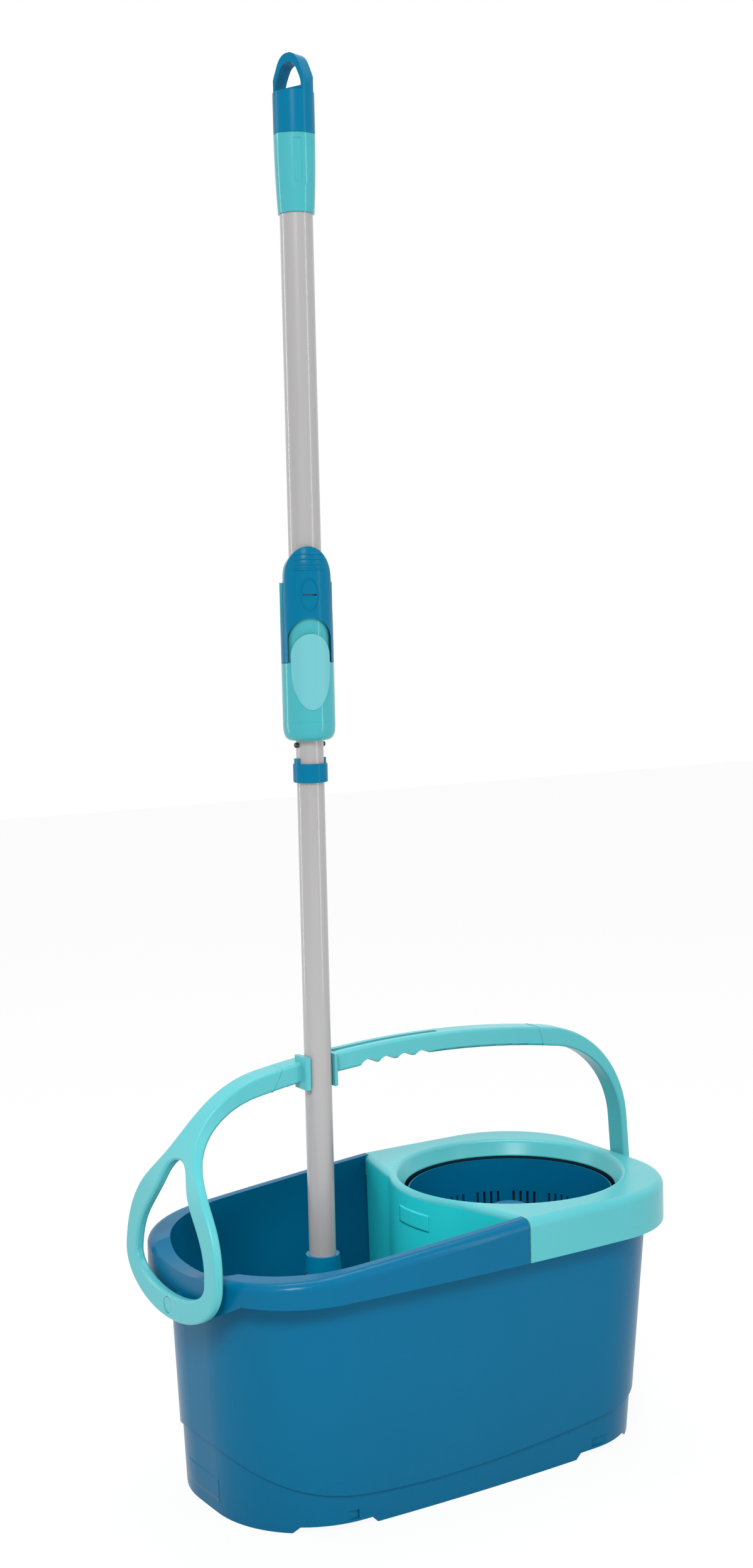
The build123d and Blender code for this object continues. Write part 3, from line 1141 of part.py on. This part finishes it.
def hanging_cap():
    """End cap with its hanging loop and the plug that fits the upper tube."""
    cap = post(TOP_GRIP_R, CAP_FOOT_Z + SEAT_FIT, LOOP_Z + LOOP)
    arch = extrude(Plane.XZ * loop_face(0), amount=LOOP_THICK / 2, both=True)
    cap &= post(TOP_GRIP_R, CAP_FOOT_Z, LOOP_Z - LOOP_STRAP) + arch
    cap -= extrude(Plane.XZ * loop_face(LOOP_STRAP), amount=2 * LOOP_THICK, both=True)
    cap += post(UPPER_BORE_R - SEAT_FIT, CAP_FOOT_Z - PLUG_DEPTH, CAP_FOOT_Z + PLAY)
    return on_pole(cap, LOOP_TURN)


def loop_face(band):
    """Pointed arch of the hanging loop, drawn in by band."""
    half = TOP_GRIP_R - band
    top = TOP_Z - 2 * band
    foot = LOOP_Z if band else CAP_FOOT_Z
    spring = LOOP_Z
    rise = top - spring
    flank = half * LOOP_FLANK
    tip = half * LOOP_TIP
    return make_face([
        Line((-half, foot), (half, foot)),
        *([] if band else [Line((half, foot), (half, spring))]),
        Spline((half, spring), (flank, spring + rise * LOOP_FLANK_RISE), (tip, top),
               tangents=[(0, 1), (-1, 0.2)]),
        Line((tip, top), (-tip, top)),
        Spline((-tip, top), (-flank, spring + rise * LOOP_FLANK_RISE), (-half, spring),
               tangents=[(-1, -0.2), (0, -1)]),
        *([] if band else [Line((-half, spring), (-half, foot))]),
    ])


UPPER_BUSH_Z = HOUSING_TOP_Z - UPPER_BUSH - HOUSING_LIP


def lock_button_left():
    """Lock button on the left."""
    return lock_button(-1)


def lock_button_right():
    """Lock button on the right."""
    return lock_button(1)


os.makedirs("parts", exist_ok=True)

NODES = [
    bucket_shell, spin_insert, basket_axle, axle_washer, axle_clip, bail_pins,
    spin_basket, hub_cap, basket_bush, bail,
    grip_housing_front, grip_housing_back, palm_pad, bearing_cap, lower_bush, upper_bush, housing_screws,
    lock_slider, upper_tube, top_grip, hanging_cap, drive_rod, rod_anchor,
    lower_tube, spiral_nut, retaining_ring, button_spring, mop_socket, socket_screw,
    release_collar, lock_button_left, lock_button_right, swivel_pin, mop_plate, mop_pad,
]

if __name__ == "__main__":
    for node in NODES:
        write(node.__name__, node())
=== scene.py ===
from math import cos, pi, radians, sin

import bmesh
import bpy
from mathutils import Matrix, Vector
from mathutils.bvhtree import BVHTree


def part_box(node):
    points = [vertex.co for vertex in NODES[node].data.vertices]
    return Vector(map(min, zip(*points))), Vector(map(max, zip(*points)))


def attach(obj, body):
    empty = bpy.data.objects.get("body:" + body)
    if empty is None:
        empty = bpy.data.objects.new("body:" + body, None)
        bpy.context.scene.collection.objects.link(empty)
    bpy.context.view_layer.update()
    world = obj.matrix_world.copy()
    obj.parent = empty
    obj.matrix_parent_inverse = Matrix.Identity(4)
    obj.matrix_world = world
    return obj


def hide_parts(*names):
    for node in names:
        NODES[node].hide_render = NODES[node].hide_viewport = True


# Spin mop: looks of the bucket, the basket insert, the bail and the two-tube mop.
# Lengths are in metres, in the part's own frame.

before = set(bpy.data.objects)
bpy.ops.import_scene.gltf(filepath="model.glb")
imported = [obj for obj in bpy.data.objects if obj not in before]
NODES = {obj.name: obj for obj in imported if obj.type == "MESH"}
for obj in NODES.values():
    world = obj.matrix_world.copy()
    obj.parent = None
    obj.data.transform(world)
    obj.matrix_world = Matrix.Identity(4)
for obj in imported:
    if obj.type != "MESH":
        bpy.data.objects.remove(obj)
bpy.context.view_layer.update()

# Where the photograph was taken from
CAMERA_PLACE = (-1.02576, -1.56444, 0.80475)
CAMERA_TURN = -32.47
CAMERA_PITCH = 4.95
CAMERA_ROLL = -1.294
CAMERA_LENS = 45.80
SENSOR = 36.0

# Colours, written as they look in plain light
BLUE = (0.000, 0.120, 0.240)
BLUE_DEEP = (0.000, 0.110, 0.224)
GRIP_BLUE = (0.000, 0.158, 0.292)
GRIP_BLUE_DEEP = (0.000, 0.145, 0.275)
TURQUOISE = (0.092, 0.428, 0.460)
TURQUOISE_DEEP = (0.070, 0.400, 0.432)
GLOSS_TURQUOISE = (0.060, 0.385, 0.425)
GLOSS_TURQUOISE_DEEP = (0.045, 0.365, 0.405)
# Painted shade: near black for the cup's walls behind the spin basket
CUP_SHADE = (0.004, 0.020, 0.026)
# Painted light: a brighter, fuller turquoise for the splash wall, which lies in shade
SPLASH_PAINTED_LIGHT = (0.020, 0.600, 0.640)
LINE_SHADE = (0.030, 0.300, 0.330)
PALM_TURQUOISE = (0.150, 0.465, 0.520)
TUBE_GREY = (0.325, 0.318, 0.324)
TUBE_GREY_WARM = (0.362, 0.354, 0.352)
ZINC = (0.560, 0.565, 0.575)
BEARING_WHITE = (0.740, 0.735, 0.700)
BUTTON_BLACK = (0.012, 0.012, 0.014)
PAD_WHITE = (0.800, 0.815, 0.820)
PAD_BLUE = (0.120, 0.330, 0.470)

# Where the insert's painted shade and painted light lie
CUP_GAP = 0.0075       # from the spin basket to the cup's wall
CUP_LIP = 0.0018       # shade reaches this far above the spin basket
FUNNEL_WIDTH = 0.008
SPLASH_END = 0.060     # the splash wall's painted light ends here along X
SPLASH_HALF = 0.127    # and here across Y
SPLASH_EDGE = 0.005    # and starts this far below the deck

# Surroundings
WHITE = (1.000, 1.000, 1.000)
FLOOR_WHITE = (0.900, 0.900, 0.900)
FLOOR_GLOW = 0.93      # share of the floor that looks white whatever the light
FLOOR_HALF = 6.0
SURROUND_LIGHT = 0.62  # strength of the surround as a light; it looks white all the same
POLE_AIM = (-0.11, -0.01, 0.8)
SPOT_BLEND = 0.5

# Finishes
DRIFT_SCALE = 9.0      # slow change of colour and gloss over a moulding
GRAIN_DEPTH = 0.0002
STREAK_STRETCH = 0.02  # streaks are this share as fine along a tube as across it
STREAK_GLOSS = (0.24, 0.36)


def feed(tree, socket, value):
    """Link a socket to another one, or set it to a plain value."""
    if isinstance(value, bpy.types.NodeSocket):
        tree.links.new(value, socket)
    else:
        socket.default_value = value


def linked(tree, kind, **inputs):
    """Add a node and feed its named inputs."""
    node = tree.nodes.new(kind)
    for name, value in inputs.items():
        feed(tree, node.inputs[name.replace("_", " ")], value)
    return node


def maths(tree, operation, *values):
    """Result of a Math node fed with values."""
    node = tree.nodes.new("ShaderNodeMath")
    node.operation = operation
    for socket, value in zip(node.inputs, values):
        feed(tree, socket, value)
    return node.outputs["Value"]


def overlap(tree, masks):
    """1 where all of several masks are 1."""
    result = masks[0]
    for mask in masks[1:]:
        result = maths(tree, "MULTIPLY", result, mask)
    return result


def rgba(colour):
    """Colour with full alpha."""
    return (*colour, 1.0)


def new_group(name, inputs, outputs):
    """Empty shader node group with named sockets; returns the tree, its inputs and its output node."""
    tree = bpy.data.node_groups.new(name, "ShaderNodeTree")
    for label, kind in inputs:
        tree.interface.new_socket(label, in_out="INPUT", socket_type=kind)
    for label, kind in outputs:
        tree.interface.new_socket(label, in_out="OUTPUT", socket_type=kind)
    source = tree.nodes.new("NodeGroupInput")
    target = tree.nodes.new("NodeGroupOutput")
    return tree, source.outputs, target


def mixed(tree, fac, first, second):
    """Blend two colours by a factor."""
    node = tree.nodes.new("ShaderNodeMix")
    node.data_type = "RGBA"
    for label, value in (("Factor", fac), ("A", first), ("B", second)):
        feed(tree, node.inputs[label], value)
    return node.outputs["Result"]


def scaled(tree, value, low, high):
    """Map a 0 to 1 value to a range."""
    node = linked(tree, "ShaderNodeMapRange", Value=value, To_Min=low, To_Max=high)
    return node.outputs["Result"]


def moulded_group():
    """Injection-moulded skin: slow colour drift, a fine spark-eroded grain and a slightly uneven gloss."""
    tree, given, out = new_group(
        "moulded_skin",
        [("Colour", "NodeSocketColor"), ("Drift", "NodeSocketColor"), ("Grain Scale", "NodeSocketFloat"),
         ("Gloss Low", "NodeSocketFloat"), ("Gloss High", "NodeSocketFloat")],
        [("Colour", "NodeSocketColor"), ("Roughness", "NodeSocketFloat"), ("Height", "NodeSocketFloat")],
    )
    place = tree.nodes.new("ShaderNodeTexCoord").outputs["Object"]
    slow = linked(tree, "ShaderNodeTexNoise", Vector=place, Scale=DRIFT_SCALE, Detail=2.0)
    fine = linked(tree, "ShaderNodeTexNoise", Vector=place, Scale=given["Grain Scale"], Detail=3.0)
    tree.links.new(mixed(tree, slow.outputs["Fac"], given["Colour"], given["Drift"]), out.inputs["Colour"])
    gloss = scaled(tree, slow.outputs["Fac"], given["Gloss Low"], given["Gloss High"])
    tree.links.new(gloss, out.inputs["Roughness"])
    tree.links.new(fine.outputs["Fac"], out.inputs["Height"])
    return tree


def drawn_group():
    """Drawn or brushed metal: long streaks along Z under an even finish."""
    tree, given, out = new_group(
        "drawn_streaks",
        [("Colour", "NodeSocketColor"), ("Streak", "NodeSocketColor"), ("Across", "NodeSocketFloat")],
        [("Colour", "NodeSocketColor"), ("Roughness", "NodeSocketFloat"), ("Height", "NodeSocketFloat")],
    )
    place = tree.nodes.new("ShaderNodeTexCoord").outputs["Object"]
    stretch = linked(tree, "ShaderNodeMapping", Vector=place, Scale=(1.0, 1.0, STREAK_STRETCH))
    noise = linked(tree, "ShaderNodeTexNoise", Vector=stretch.outputs["Vector"], Scale=given["Across"],
                   Detail=3.0)
    streak = noise.outputs["Fac"]
    tree.links.new(mixed(tree, streak, given["Colour"], given["Streak"]), out.inputs["Colour"])
    tree.links.new(scaled(tree, streak, *STREAK_GLOSS), out.inputs["Roughness"])
    tree.links.new(streak, out.inputs["Height"])
    return tree


MOULDED = moulded_group()
DRAWN = drawn_group()


def finish(name, group, values, bump, **plain):
    """Material with one of the shared groups feeding colour, roughness and bump."""
    material = bpy.data.materials.new(name)
    material.use_nodes = True
    tree = material.node_tree
    shader = tree.nodes["Principled BSDF"]
    skin = tree.nodes.new("ShaderNodeGroup")
    skin.node_tree = group
    for label, value in values.items():
        skin.inputs[label].default_value = value
    tree.links.new(skin.outputs["Colour"], shader.inputs["Base Color"])
    tree.links.new(skin.outputs["Roughness"], shader.inputs["Roughness"])
    relief = linked(tree, "ShaderNodeBump", Height=skin.outputs["Height"], Strength=bump,
                    Distance=GRAIN_DEPTH)
    tree.links.new(relief.outputs["Normal"], shader.inputs["Normal"])
    for label, value in plain.items():
        shader.inputs[label.replace("_", " ")].default_value = value
    return material


def moulded(name, colour, drift, low, high, grain=1400.0, bump=0.10, **plain):
    """Moulded plastic finish."""
    values = {"Colour": rgba(colour), "Drift": rgba(drift), "Grain Scale": grain, "Gloss Low": low,
              "Gloss High": high}
    return finish(name, MOULDED, values, bump, **plain)


def drawn(name, colour, streak, across, bump=0.05, **plain):
    """Metal finish with streaks along the tube."""
    values = {"Colour": rgba(colour), "Streak": rgba(streak), "Across": across}
    return finish(name, DRAWN, values, bump, **plain)


def paint_insert_shade_and_light(material):
    """Painted deep shade on the walls of the cup behind the basket, and painted light on the splash wall: a
    brighter, fuller turquoise there.
    """
    low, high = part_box("spin_basket")
    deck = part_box("spin_insert")[1][2]
    reach = (high[0] - low[0]) / 2 + CUP_GAP
    tree = material.node_tree
    place = tree.nodes.new("ShaderNodeTexCoord").outputs["Object"]
    x, y, z = linked(tree, "ShaderNodeSeparateXYZ", Vector=place).outputs
    plan = linked(tree, "ShaderNodeCombineXYZ", X=x, Y=y)
    away = tree.nodes.new("ShaderNodeVectorMath")
    away.operation = "DISTANCE"
    away.inputs[1].default_value = ((low[0] + high[0]) / 2, (low[1] + high[1]) / 2, 0.0)
    tree.links.new(plan.outputs["Vector"], away.inputs[0])
    radius = away.outputs["Value"]
    # Painted shade: the cup's walls behind the basket are darkened nearly to black
    cup = overlap(tree, [maths(tree, "LESS_THAN", radius, reach),
                         maths(tree, "LESS_THAN", z, high[2] + CUP_LIP)])
    # Painted light: the splash wall inside the bucket gets a brighter, fuller turquoise than the rest of
    # the insert
    splash_light_mask = overlap(tree, [maths(tree, "LESS_THAN", x, SPLASH_END),
                          maths(tree, "LESS_THAN", maths(tree, "ABSOLUTE", y), SPLASH_HALF),
                          maths(tree, "LESS_THAN", z, deck - SPLASH_EDGE),
                          maths(tree, "GREATER_THAN", radius, reach + FUNNEL_WIDTH)])
    skin = tree.nodes["Group"].outputs["Colour"]
    # Painted shade in the cup, over painted light on the splash wall, over the insert's own colour
    shade = mixed(tree, cup, mixed(tree, splash_light_mask, skin, rgba(SPLASH_PAINTED_LIGHT)), rgba(CUP_SHADE))
    tree.links.new(shade, tree.nodes["Principled BSDF"].inputs["Base Color"])


blue_satin = moulded("blue_satin", BLUE, BLUE_DEEP, 0.24, 0.32, Specular_IOR_Level=0.06, Coat_Weight=0.10,
                     Coat_Roughness=0.14)
blue_grip = moulded("blue_grip", GRIP_BLUE, GRIP_BLUE_DEEP, 0.18, 0.26, bump=0.05, Specular_IOR_Level=0.08)
turquoise_satin = moulded("turquoise_satin", TURQUOISE, TURQUOISE_DEEP, 0.24, 0.32, Specular_IOR_Level=0.25)
turquoise_gloss = moulded("turquoise_gloss", GLOSS_TURQUOISE, GLOSS_TURQUOISE_DEEP, 0.14, 0.20, bump=0.03,
                          Coat_Weight=0.2, Coat_Roughness=0.04, Specular_IOR_Level=0.15)
insert_satin = moulded("insert_satin", TURQUOISE, TURQUOISE_DEEP, 0.24, 0.32, Specular_IOR_Level=0.25)
paint_insert_shade_and_light(insert_satin)
palm_soft = moulded("palm_soft", PALM_TURQUOISE, TURQUOISE, 0.42, 0.52, grain=2200.0, bump=0.20)
bearing_white = moulded("bearing_white", BEARING_WHITE, BEARING_WHITE, 0.38, 0.46)
button_black = moulded("button_black", BUTTON_BLACK, BUTTON_BLACK, 0.22, 0.30)
tube_lacquer = drawn("tube_lacquer", TUBE_GREY, TUBE_GREY_WARM, 260.0, Coat_Weight=0.5, Coat_Roughness=0.06)
zinc = drawn("zinc", ZINC, TUBE_GREY, 900.0, Metallic=1.0)

FINISHES = {
    blue_satin: ["bucket_shell", "spin_basket", "hub_cap"],
    blue_grip: ["hanging_cap", "lock_slider", "release_collar", "mop_socket"],
    turquoise_satin: ["bail", "bail_pins", "mop_plate"],
    insert_satin: ["spin_insert"],
    turquoise_gloss: ["top_grip", "grip_housing_front", "grip_housing_back", "bearing_cap"],
    palm_soft: ["palm_pad"],
    bearing_white: ["basket_bush", "axle_washer", "lower_bush", "upper_bush", "spiral_nut", "rod_anchor"],
    button_black: ["lock_button_left", "lock_button_right"],
    tube_lacquer: ["upper_tube", "lower_tube"],
    zinc: ["basket_axle", "axle_clip", "housing_screws", "drive_rod", "retaining_ring", "button_spring",
           "socket_screw", "swivel_pin"],
}
for material, names in FINISHES.items():
    for name in names:
        NODES[name].data.materials.clear()
        NODES[name].data.materials.append(material)


# Camera, floor and light

def place_camera():
    """Camera at the photograph's viewpoint."""
    camera = bpy.data.objects.new("camera", bpy.data.cameras.new("camera"))
    turn = Matrix.Rotation(radians(CAMERA_TURN), 4, "Z")
    pitch = Matrix.Rotation(radians(90 - CAMERA_PITCH), 4, "X")
    roll = Matrix.Rotation(radians(CAMERA_ROLL), 4, "Z")
    camera.matrix_world = Matrix.Translation(CAMERA_PLACE) @ turn @ pitch @ roll
    camera.data.sensor_fit = "VERTICAL"
    camera.data.sensor_height = SENSOR
    camera.data.lens = CAMERA_LENS
    bpy.context.collection.objects.link(camera)
    bpy.context.scene.camera = camera


def white_rays(tree):
    """1 for rays that show a surface as it looks: the camera's, reflections and through clear parts."""
    rays = tree.nodes.new("ShaderNodeLightPath").outputs
    mirrored = maths(tree, "MAXIMUM", rays["Is Camera Ray"], rays["Is Glossy Ray"])
    return maths(tree, "MAXIMUM", mirrored, rays["Is Transmission Ray"])


def place_floor():
    """Plain pale floor that stays near white to the camera and keeps the shadow."""
    mesh = bpy.data.meshes.new("floor")
    form = bmesh.new()
    bmesh.ops.create_grid(form, x_segments=1, y_segments=1, size=FLOOR_HALF)
    form.to_mesh(mesh)
    form.free()
    floor = bpy.data.objects.new("floor", mesh)
    bpy.context.collection.objects.link(floor)
    material = bpy.data.materials.new("floor_paper")
    material.use_nodes = True
    tree = material.node_tree
    tree.nodes.remove(tree.nodes["Principled BSDF"])
    paper = linked(tree, "ShaderNodeBsdfDiffuse", Color=rgba(FLOOR_WHITE))
    glow = linked(tree, "ShaderNodeEmission", Color=rgba(WHITE), Strength=1.0)
    both = linked(tree, "ShaderNodeMixShader", Fac=maths(tree, "MULTIPLY", white_rays(tree), FLOOR_GLOW))
    tree.links.new(paper.outputs["BSDF"], both.inputs[1])
    tree.links.new(glow.outputs["Emission"], both.inputs[2])
    tree.links.new(both.outputs["Shader"], tree.nodes["Material Output"].inputs["Surface"])
    mesh.materials.append(material)


def place_lamp(name, place, aim, size, watts):
    """Soft box pointed at a place on the object."""
    data = bpy.data.lights.new(name, "AREA")
    data.shape = "RECTANGLE"
    data.size, data.size_y = size
    data.energy = watts
    point_lamp(bpy.data.objects.new(name, data), place, aim)


def place_spot(name, place, aim, cone, radius, watts):
    """Soft spot that reaches down into the bucket."""
    data = bpy.data.lights.new(name, "SPOT")
    data.spot_size = radians(cone)
    data.spot_blend = SPOT_BLEND
    data.shadow_soft_size = radius
    data.energy = watts
    point_lamp(bpy.data.objects.new(name, data), place, aim)


def point_lamp(lamp, place, aim):
    """Put a lamp in place, turned towards its aim."""
    direction = Vector(aim) - Vector(place)
    turn = direction.to_track_quat("-Z", "Y").to_matrix().to_4x4()
    lamp.matrix_world = Matrix.Translation(place) @ turn
    bpy.context.collection.objects.link(lamp)


def place_world():
    """Pale surround: white to the camera and to reflections, dimmer as a light."""
    world = bpy.data.worlds.new("surround")
    bpy.context.scene.world = world
    world.use_nodes = True
    tree = world.node_tree
    back = tree.nodes["Background"]
    back.inputs["Color"].default_value = rgba(WHITE)
    tree.links.new(scaled(tree, white_rays(tree), SURROUND_LIGHT, 1.0), back.inputs["Strength"])


place_camera()
place_floor()
place_world()
place_lamp("key_box", place=(-1.6, -1.9, 2.3), aim=(0.0, 0.0, 0.4), size=(0.8, 0.8), watts=42.0)
place_lamp("top_box", place=(0.3, 0.4, 2.7), aim=(0.0, 0.0, 0.3), size=(1.4, 1.0), watts=30.0)
place_spot("well_spot", place=(-0.75, -0.75, 1.15), aim=(-0.05, 0.05, 0.17), cone=21.0, radius=0.20,
           watts=30.0)
place_lamp("left_strip", place=(-1.55, 1.60, 0.95), aim=POLE_AIM, size=(0.12, 2.0), watts=9.0)
place_lamp("right_strip", place=(1.05, -2.00, 1.00), aim=POLE_AIM, size=(0.14, 2.0), watts=9.0)


# Pieces

WELD = 1e-6            # points nearer than this are one point


def add_piece(form, name, material, body):
    """Turn a bmesh into an object that rides on a body; the bmesh is freed."""
    mesh = bpy.data.meshes.new(name)
    form.to_mesh(mesh)
    form.free()
    for face in mesh.polygons:
        face.use_smooth = True
    piece = bpy.data.objects.new(name, mesh)
    bpy.context.collection.objects.link(piece)
    mesh.materials.append(material)
    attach(piece, body)
    return piece


def node_form(node):
    """Copy of a node's mesh with its loose triangles joined."""
    form = bmesh.new()
    form.from_mesh(NODES[node].data)
    bmesh.ops.remove_doubles(form, verts=form.verts, dist=WELD)
    return form


# Mop pad

PAD_HEM_IN = 0.010     # the hem's inner edge inside the plate's rim
# Section of the pad: points in from its edge and up from its foot, in from its edge and down from its top,
# and out from the hem's inner edge and down from its top
PAD_FLANK = [(0.016, 0.001), (0.009, 0.005), (0.006, 0.013)]
PAD_SHOULDER = [(0.008, 0.004), (0.012, 0.001)]
PAD_HEM = [(0.003, 0.0005), (0.000, 0.002)]
PAD_STEPS = 96

NOODLE_R = 0.0032
NOODLE_LENGTH = 0.011
NOODLE_SHORTER = 0.14  # share of the length by which noodles differ
NOODLE_ROWS = 3
NOODLE_COUNT = 76      # in the lowest row
NOODLE_FEWER = 4       # in each row above
NOODLE_FOOT = 0.006    # lowest row above the pad's foot
NOODLE_PITCH = 0.0065  # from row to row
NOODLE_INSET = 0.0075  # root inside the pad's edge
NOODLE_DROOP = 78.0    # degrees from upright in the top row
NOODLE_SWAY = 16.0     # degrees by which noodles differ
NOODLE_LIFT = 14.0     # degrees by which each lower row stands up more


def pad_body():
    """Crowned round body of the pad with a soft hem that laps the plate."""
    low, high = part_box("mop_pad")
    plate_low, plate_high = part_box("mop_plate")
    radius = (high[0] - low[0]) / 2
    hem = (plate_high[0] - plate_low[0]) / 2 - PAD_HEM_IN
    foot, top = low[2], high[2]
    section = [(0.0, foot + PAD_FLANK[0][1])]
    section += [(radius - inward, foot + up) for inward, up in PAD_FLANK]
    section += [(radius - inward, top - down) for inward, down in PAD_SHOULDER]
    section += [(hem + outward, top - down) for outward, down in PAD_HEM]
    form = bmesh.new()
    ring = [form.verts.new((r, 0, z)) for r, z in section]
    edges = [form.edges.new(pair) for pair in zip(ring, ring[1:])]
    bmesh.ops.spin(form, geom=ring + edges, cent=(0, 0, 0), axis=(0, 0, 1), angle=2 * pi, steps=PAD_STEPS,
                   use_merge=True)
    bmesh.ops.remove_doubles(form, verts=form.verts, dist=WELD)
    bmesh.ops.recalc_face_normals(form, faces=form.faces)
    bmesh.ops.translate(form, verts=form.verts, vec=pad_centre())
    body = add_piece(form, "pad_body", pad_textile, "mop_head")
    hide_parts("mop_pad")


def pad_centre():
    """Middle of the pad in plan."""
    low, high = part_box("mop_pad")
    return Vector(((low[0] + high[0]) / 2, (low[1] + high[1]) / 2, 0))


def pad_fringe():
    """Rows of short chenille noodles round the pad's edge."""
    low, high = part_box("mop_pad")
    radius = (high[0] - low[0]) / 2
    form = bmesh.new()
    for row in range(NOODLE_ROWS):
        height = low[2] + NOODLE_FOOT + row * NOODLE_PITCH
        count = NOODLE_COUNT - NOODLE_FEWER * row
        lift = NOODLE_LIFT * (NOODLE_ROWS - 1 - row)
        for i in range(count):
            angle = 2 * pi * (i + 0.5 * (row % 2)) / count
            droop = radians(NOODLE_DROOP + NOODLE_SWAY * sin(5.3 * i + row) - lift)
            reach = NOODLE_LENGTH * (1 - NOODLE_SHORTER * (1 - cos(3.7 * i + 2 * row)))
            root = Matrix.Rotation(angle, 4, "Z") @ Matrix.Translation((radius - NOODLE_INSET, 0, height))
            stretch = Matrix.Diagonal((1, 1, reach / (2 * NOODLE_R), 1))
            bmesh.ops.create_icosphere(form, subdivisions=1, radius=NOODLE_R,
                                       matrix=root @ Matrix.Rotation(droop, 4, "Y") @ stretch)
    bmesh.ops.translate(form, verts=form.verts, vec=pad_centre())
    add_piece(form, "pad_fringe", pad_noodle, "mop_head")


# Thin trim: witness lines on the bail and bare plates

WITNESS_LINES = {"witness_line_left": ((-0.150, 0, 0.384), (1.0, 0, -0.55)),
                 "witness_line_right": ((0.148, 0, 0.384), (1.0, 0, 0.30))}
WITNESS_REACH = 0.040  # the line stays this near its place
WITNESS_WIDTH = 0.0006
WITNESS_PROUD = 0.0002


def witness_line(name, place, slant):
    """Slanted joint line round the bail's grip."""
    form = node_form("bail")
    slant = Vector(slant).normalized()
    everything = list(form.verts) + list(form.edges) + list(form.faces)
    cut = bmesh.ops.bisect_plane(form, geom=everything, plane_co=place, plane_no=slant)["geom_cut"]
    near = {e for e in cut if isinstance(e, bmesh.types.BMEdge)
            and all((v.co - Vector(place)).length < WITNESS_REACH for v in e.verts)}
    bmesh.ops.delete(form, geom=form.faces[:], context="FACES_ONLY")
    bmesh.ops.delete(form, geom=[e for e in form.edges if e not in near], context="EDGES")
    bmesh.ops.delete(form, geom=[v for v in form.verts if not v.link_edges], context="VERTS")
    strip = bmesh.ops.extrude_edge_only(form, edges=form.edges[:])["geom"]
    moved = [v for v in strip if isinstance(v, bmesh.types.BMVert)]
    bmesh.ops.translate(form, verts=moved, vec=slant * WITNESS_WIDTH)
    bmesh.ops.recalc_face_normals(form, faces=form.faces)
    bmesh.ops.solidify(form, geom=form.faces[:], thickness=-WITNESS_PROUD)
    add_piece(form, name, turquoise_line, "bail")


# Each plate's carrier and body, the photograph's pixel at its middle, its size and its slot
BARE_PLATES = {
    "splash_plate": ("spin_insert", "bucket", (657, 1943), (0.047, 0.0165), "turquoise_plastic"),
    "foot_plate": ("bucket_shell", "bucket", (324, 2358), (0.062, 0.022), "blue_plastic"),
}
PLATE_PROUD = 0.0005
PLATE_CELLS = (24, 8)
PLATE_BACK = 0.02      # a plate's points start this far off the wall and are dropped on it
PLATE_DROP = 0.06
PLATE_LIFT = 0.00005
PHOTO_SIZE = (1200, 2500)


def pixel_ray(pixel):
    """Direction from the camera through a pixel of the photograph."""
    camera = bpy.context.scene.camera
    per_pixel = SENSOR / PHOTO_SIZE[1] / CAMERA_LENS
    across = (pixel[0] - PHOTO_SIZE[0] / 2) * per_pixel
    down = (pixel[1] - PHOTO_SIZE[1] / 2) * per_pixel
    return (camera.matrix_world.to_3x3() @ Vector((across, -down, -1.0))).normalized()


def bare_plate(name, node, body, pixel, size, slot):
    """Plain raised plate that follows the wall it sits on."""
    carrier = node_form(node)
    tree = BVHTree.FromBMesh(carrier)
    carrier.free()
    place, normal, _, _ = tree.ray_cast(Vector(CAMERA_PLACE), pixel_ray(pixel))
    side = Vector((0, 0, 1)).cross(normal).normalized()
    up = normal.cross(side)
    form = bmesh.new()
    bmesh.ops.create_grid(form, x_segments=PLATE_CELLS[0], y_segments=PLATE_CELLS[1], size=0.5)
    for v in form.verts:
        start = place + side * v.co.x * size[0] + up * v.co.y * size[1] + normal * PLATE_BACK
        hit, facing, _, _ = tree.ray_cast(start, -normal, PLATE_DROP)
        v.co = hit + facing * PLATE_LIFT
    bmesh.ops.recalc_face_normals(form, faces=form.faces)
    bmesh.ops.solidify(form, geom=form.faces[:], thickness=-PLATE_PROUD)
    add_piece(form, name, NODES[node].data.materials[0], body)


pad_textile = moulded("pad_textile", PAD_WHITE, PAD_BLUE, 0.85, 0.95, grain=700.0, bump=0.8)
pad_noodle = moulded("pad_noodle", PAD_WHITE, PAD_BLUE, 0.88, 0.96, grain=1600.0, bump=0.9)
turquoise_line = moulded("turquoise_line", TURQUOISE_DEEP, LINE_SHADE, 0.40, 0.50)

pad_body()
pad_fringe()
for name, (place, slant) in WITNESS_LINES.items():
    witness_line(name, place, slant)
for name, details in BARE_PLATES.items():
    bare_plate(name, *details)

bpy.context.scene.view_settings.view_transform = "Standard"
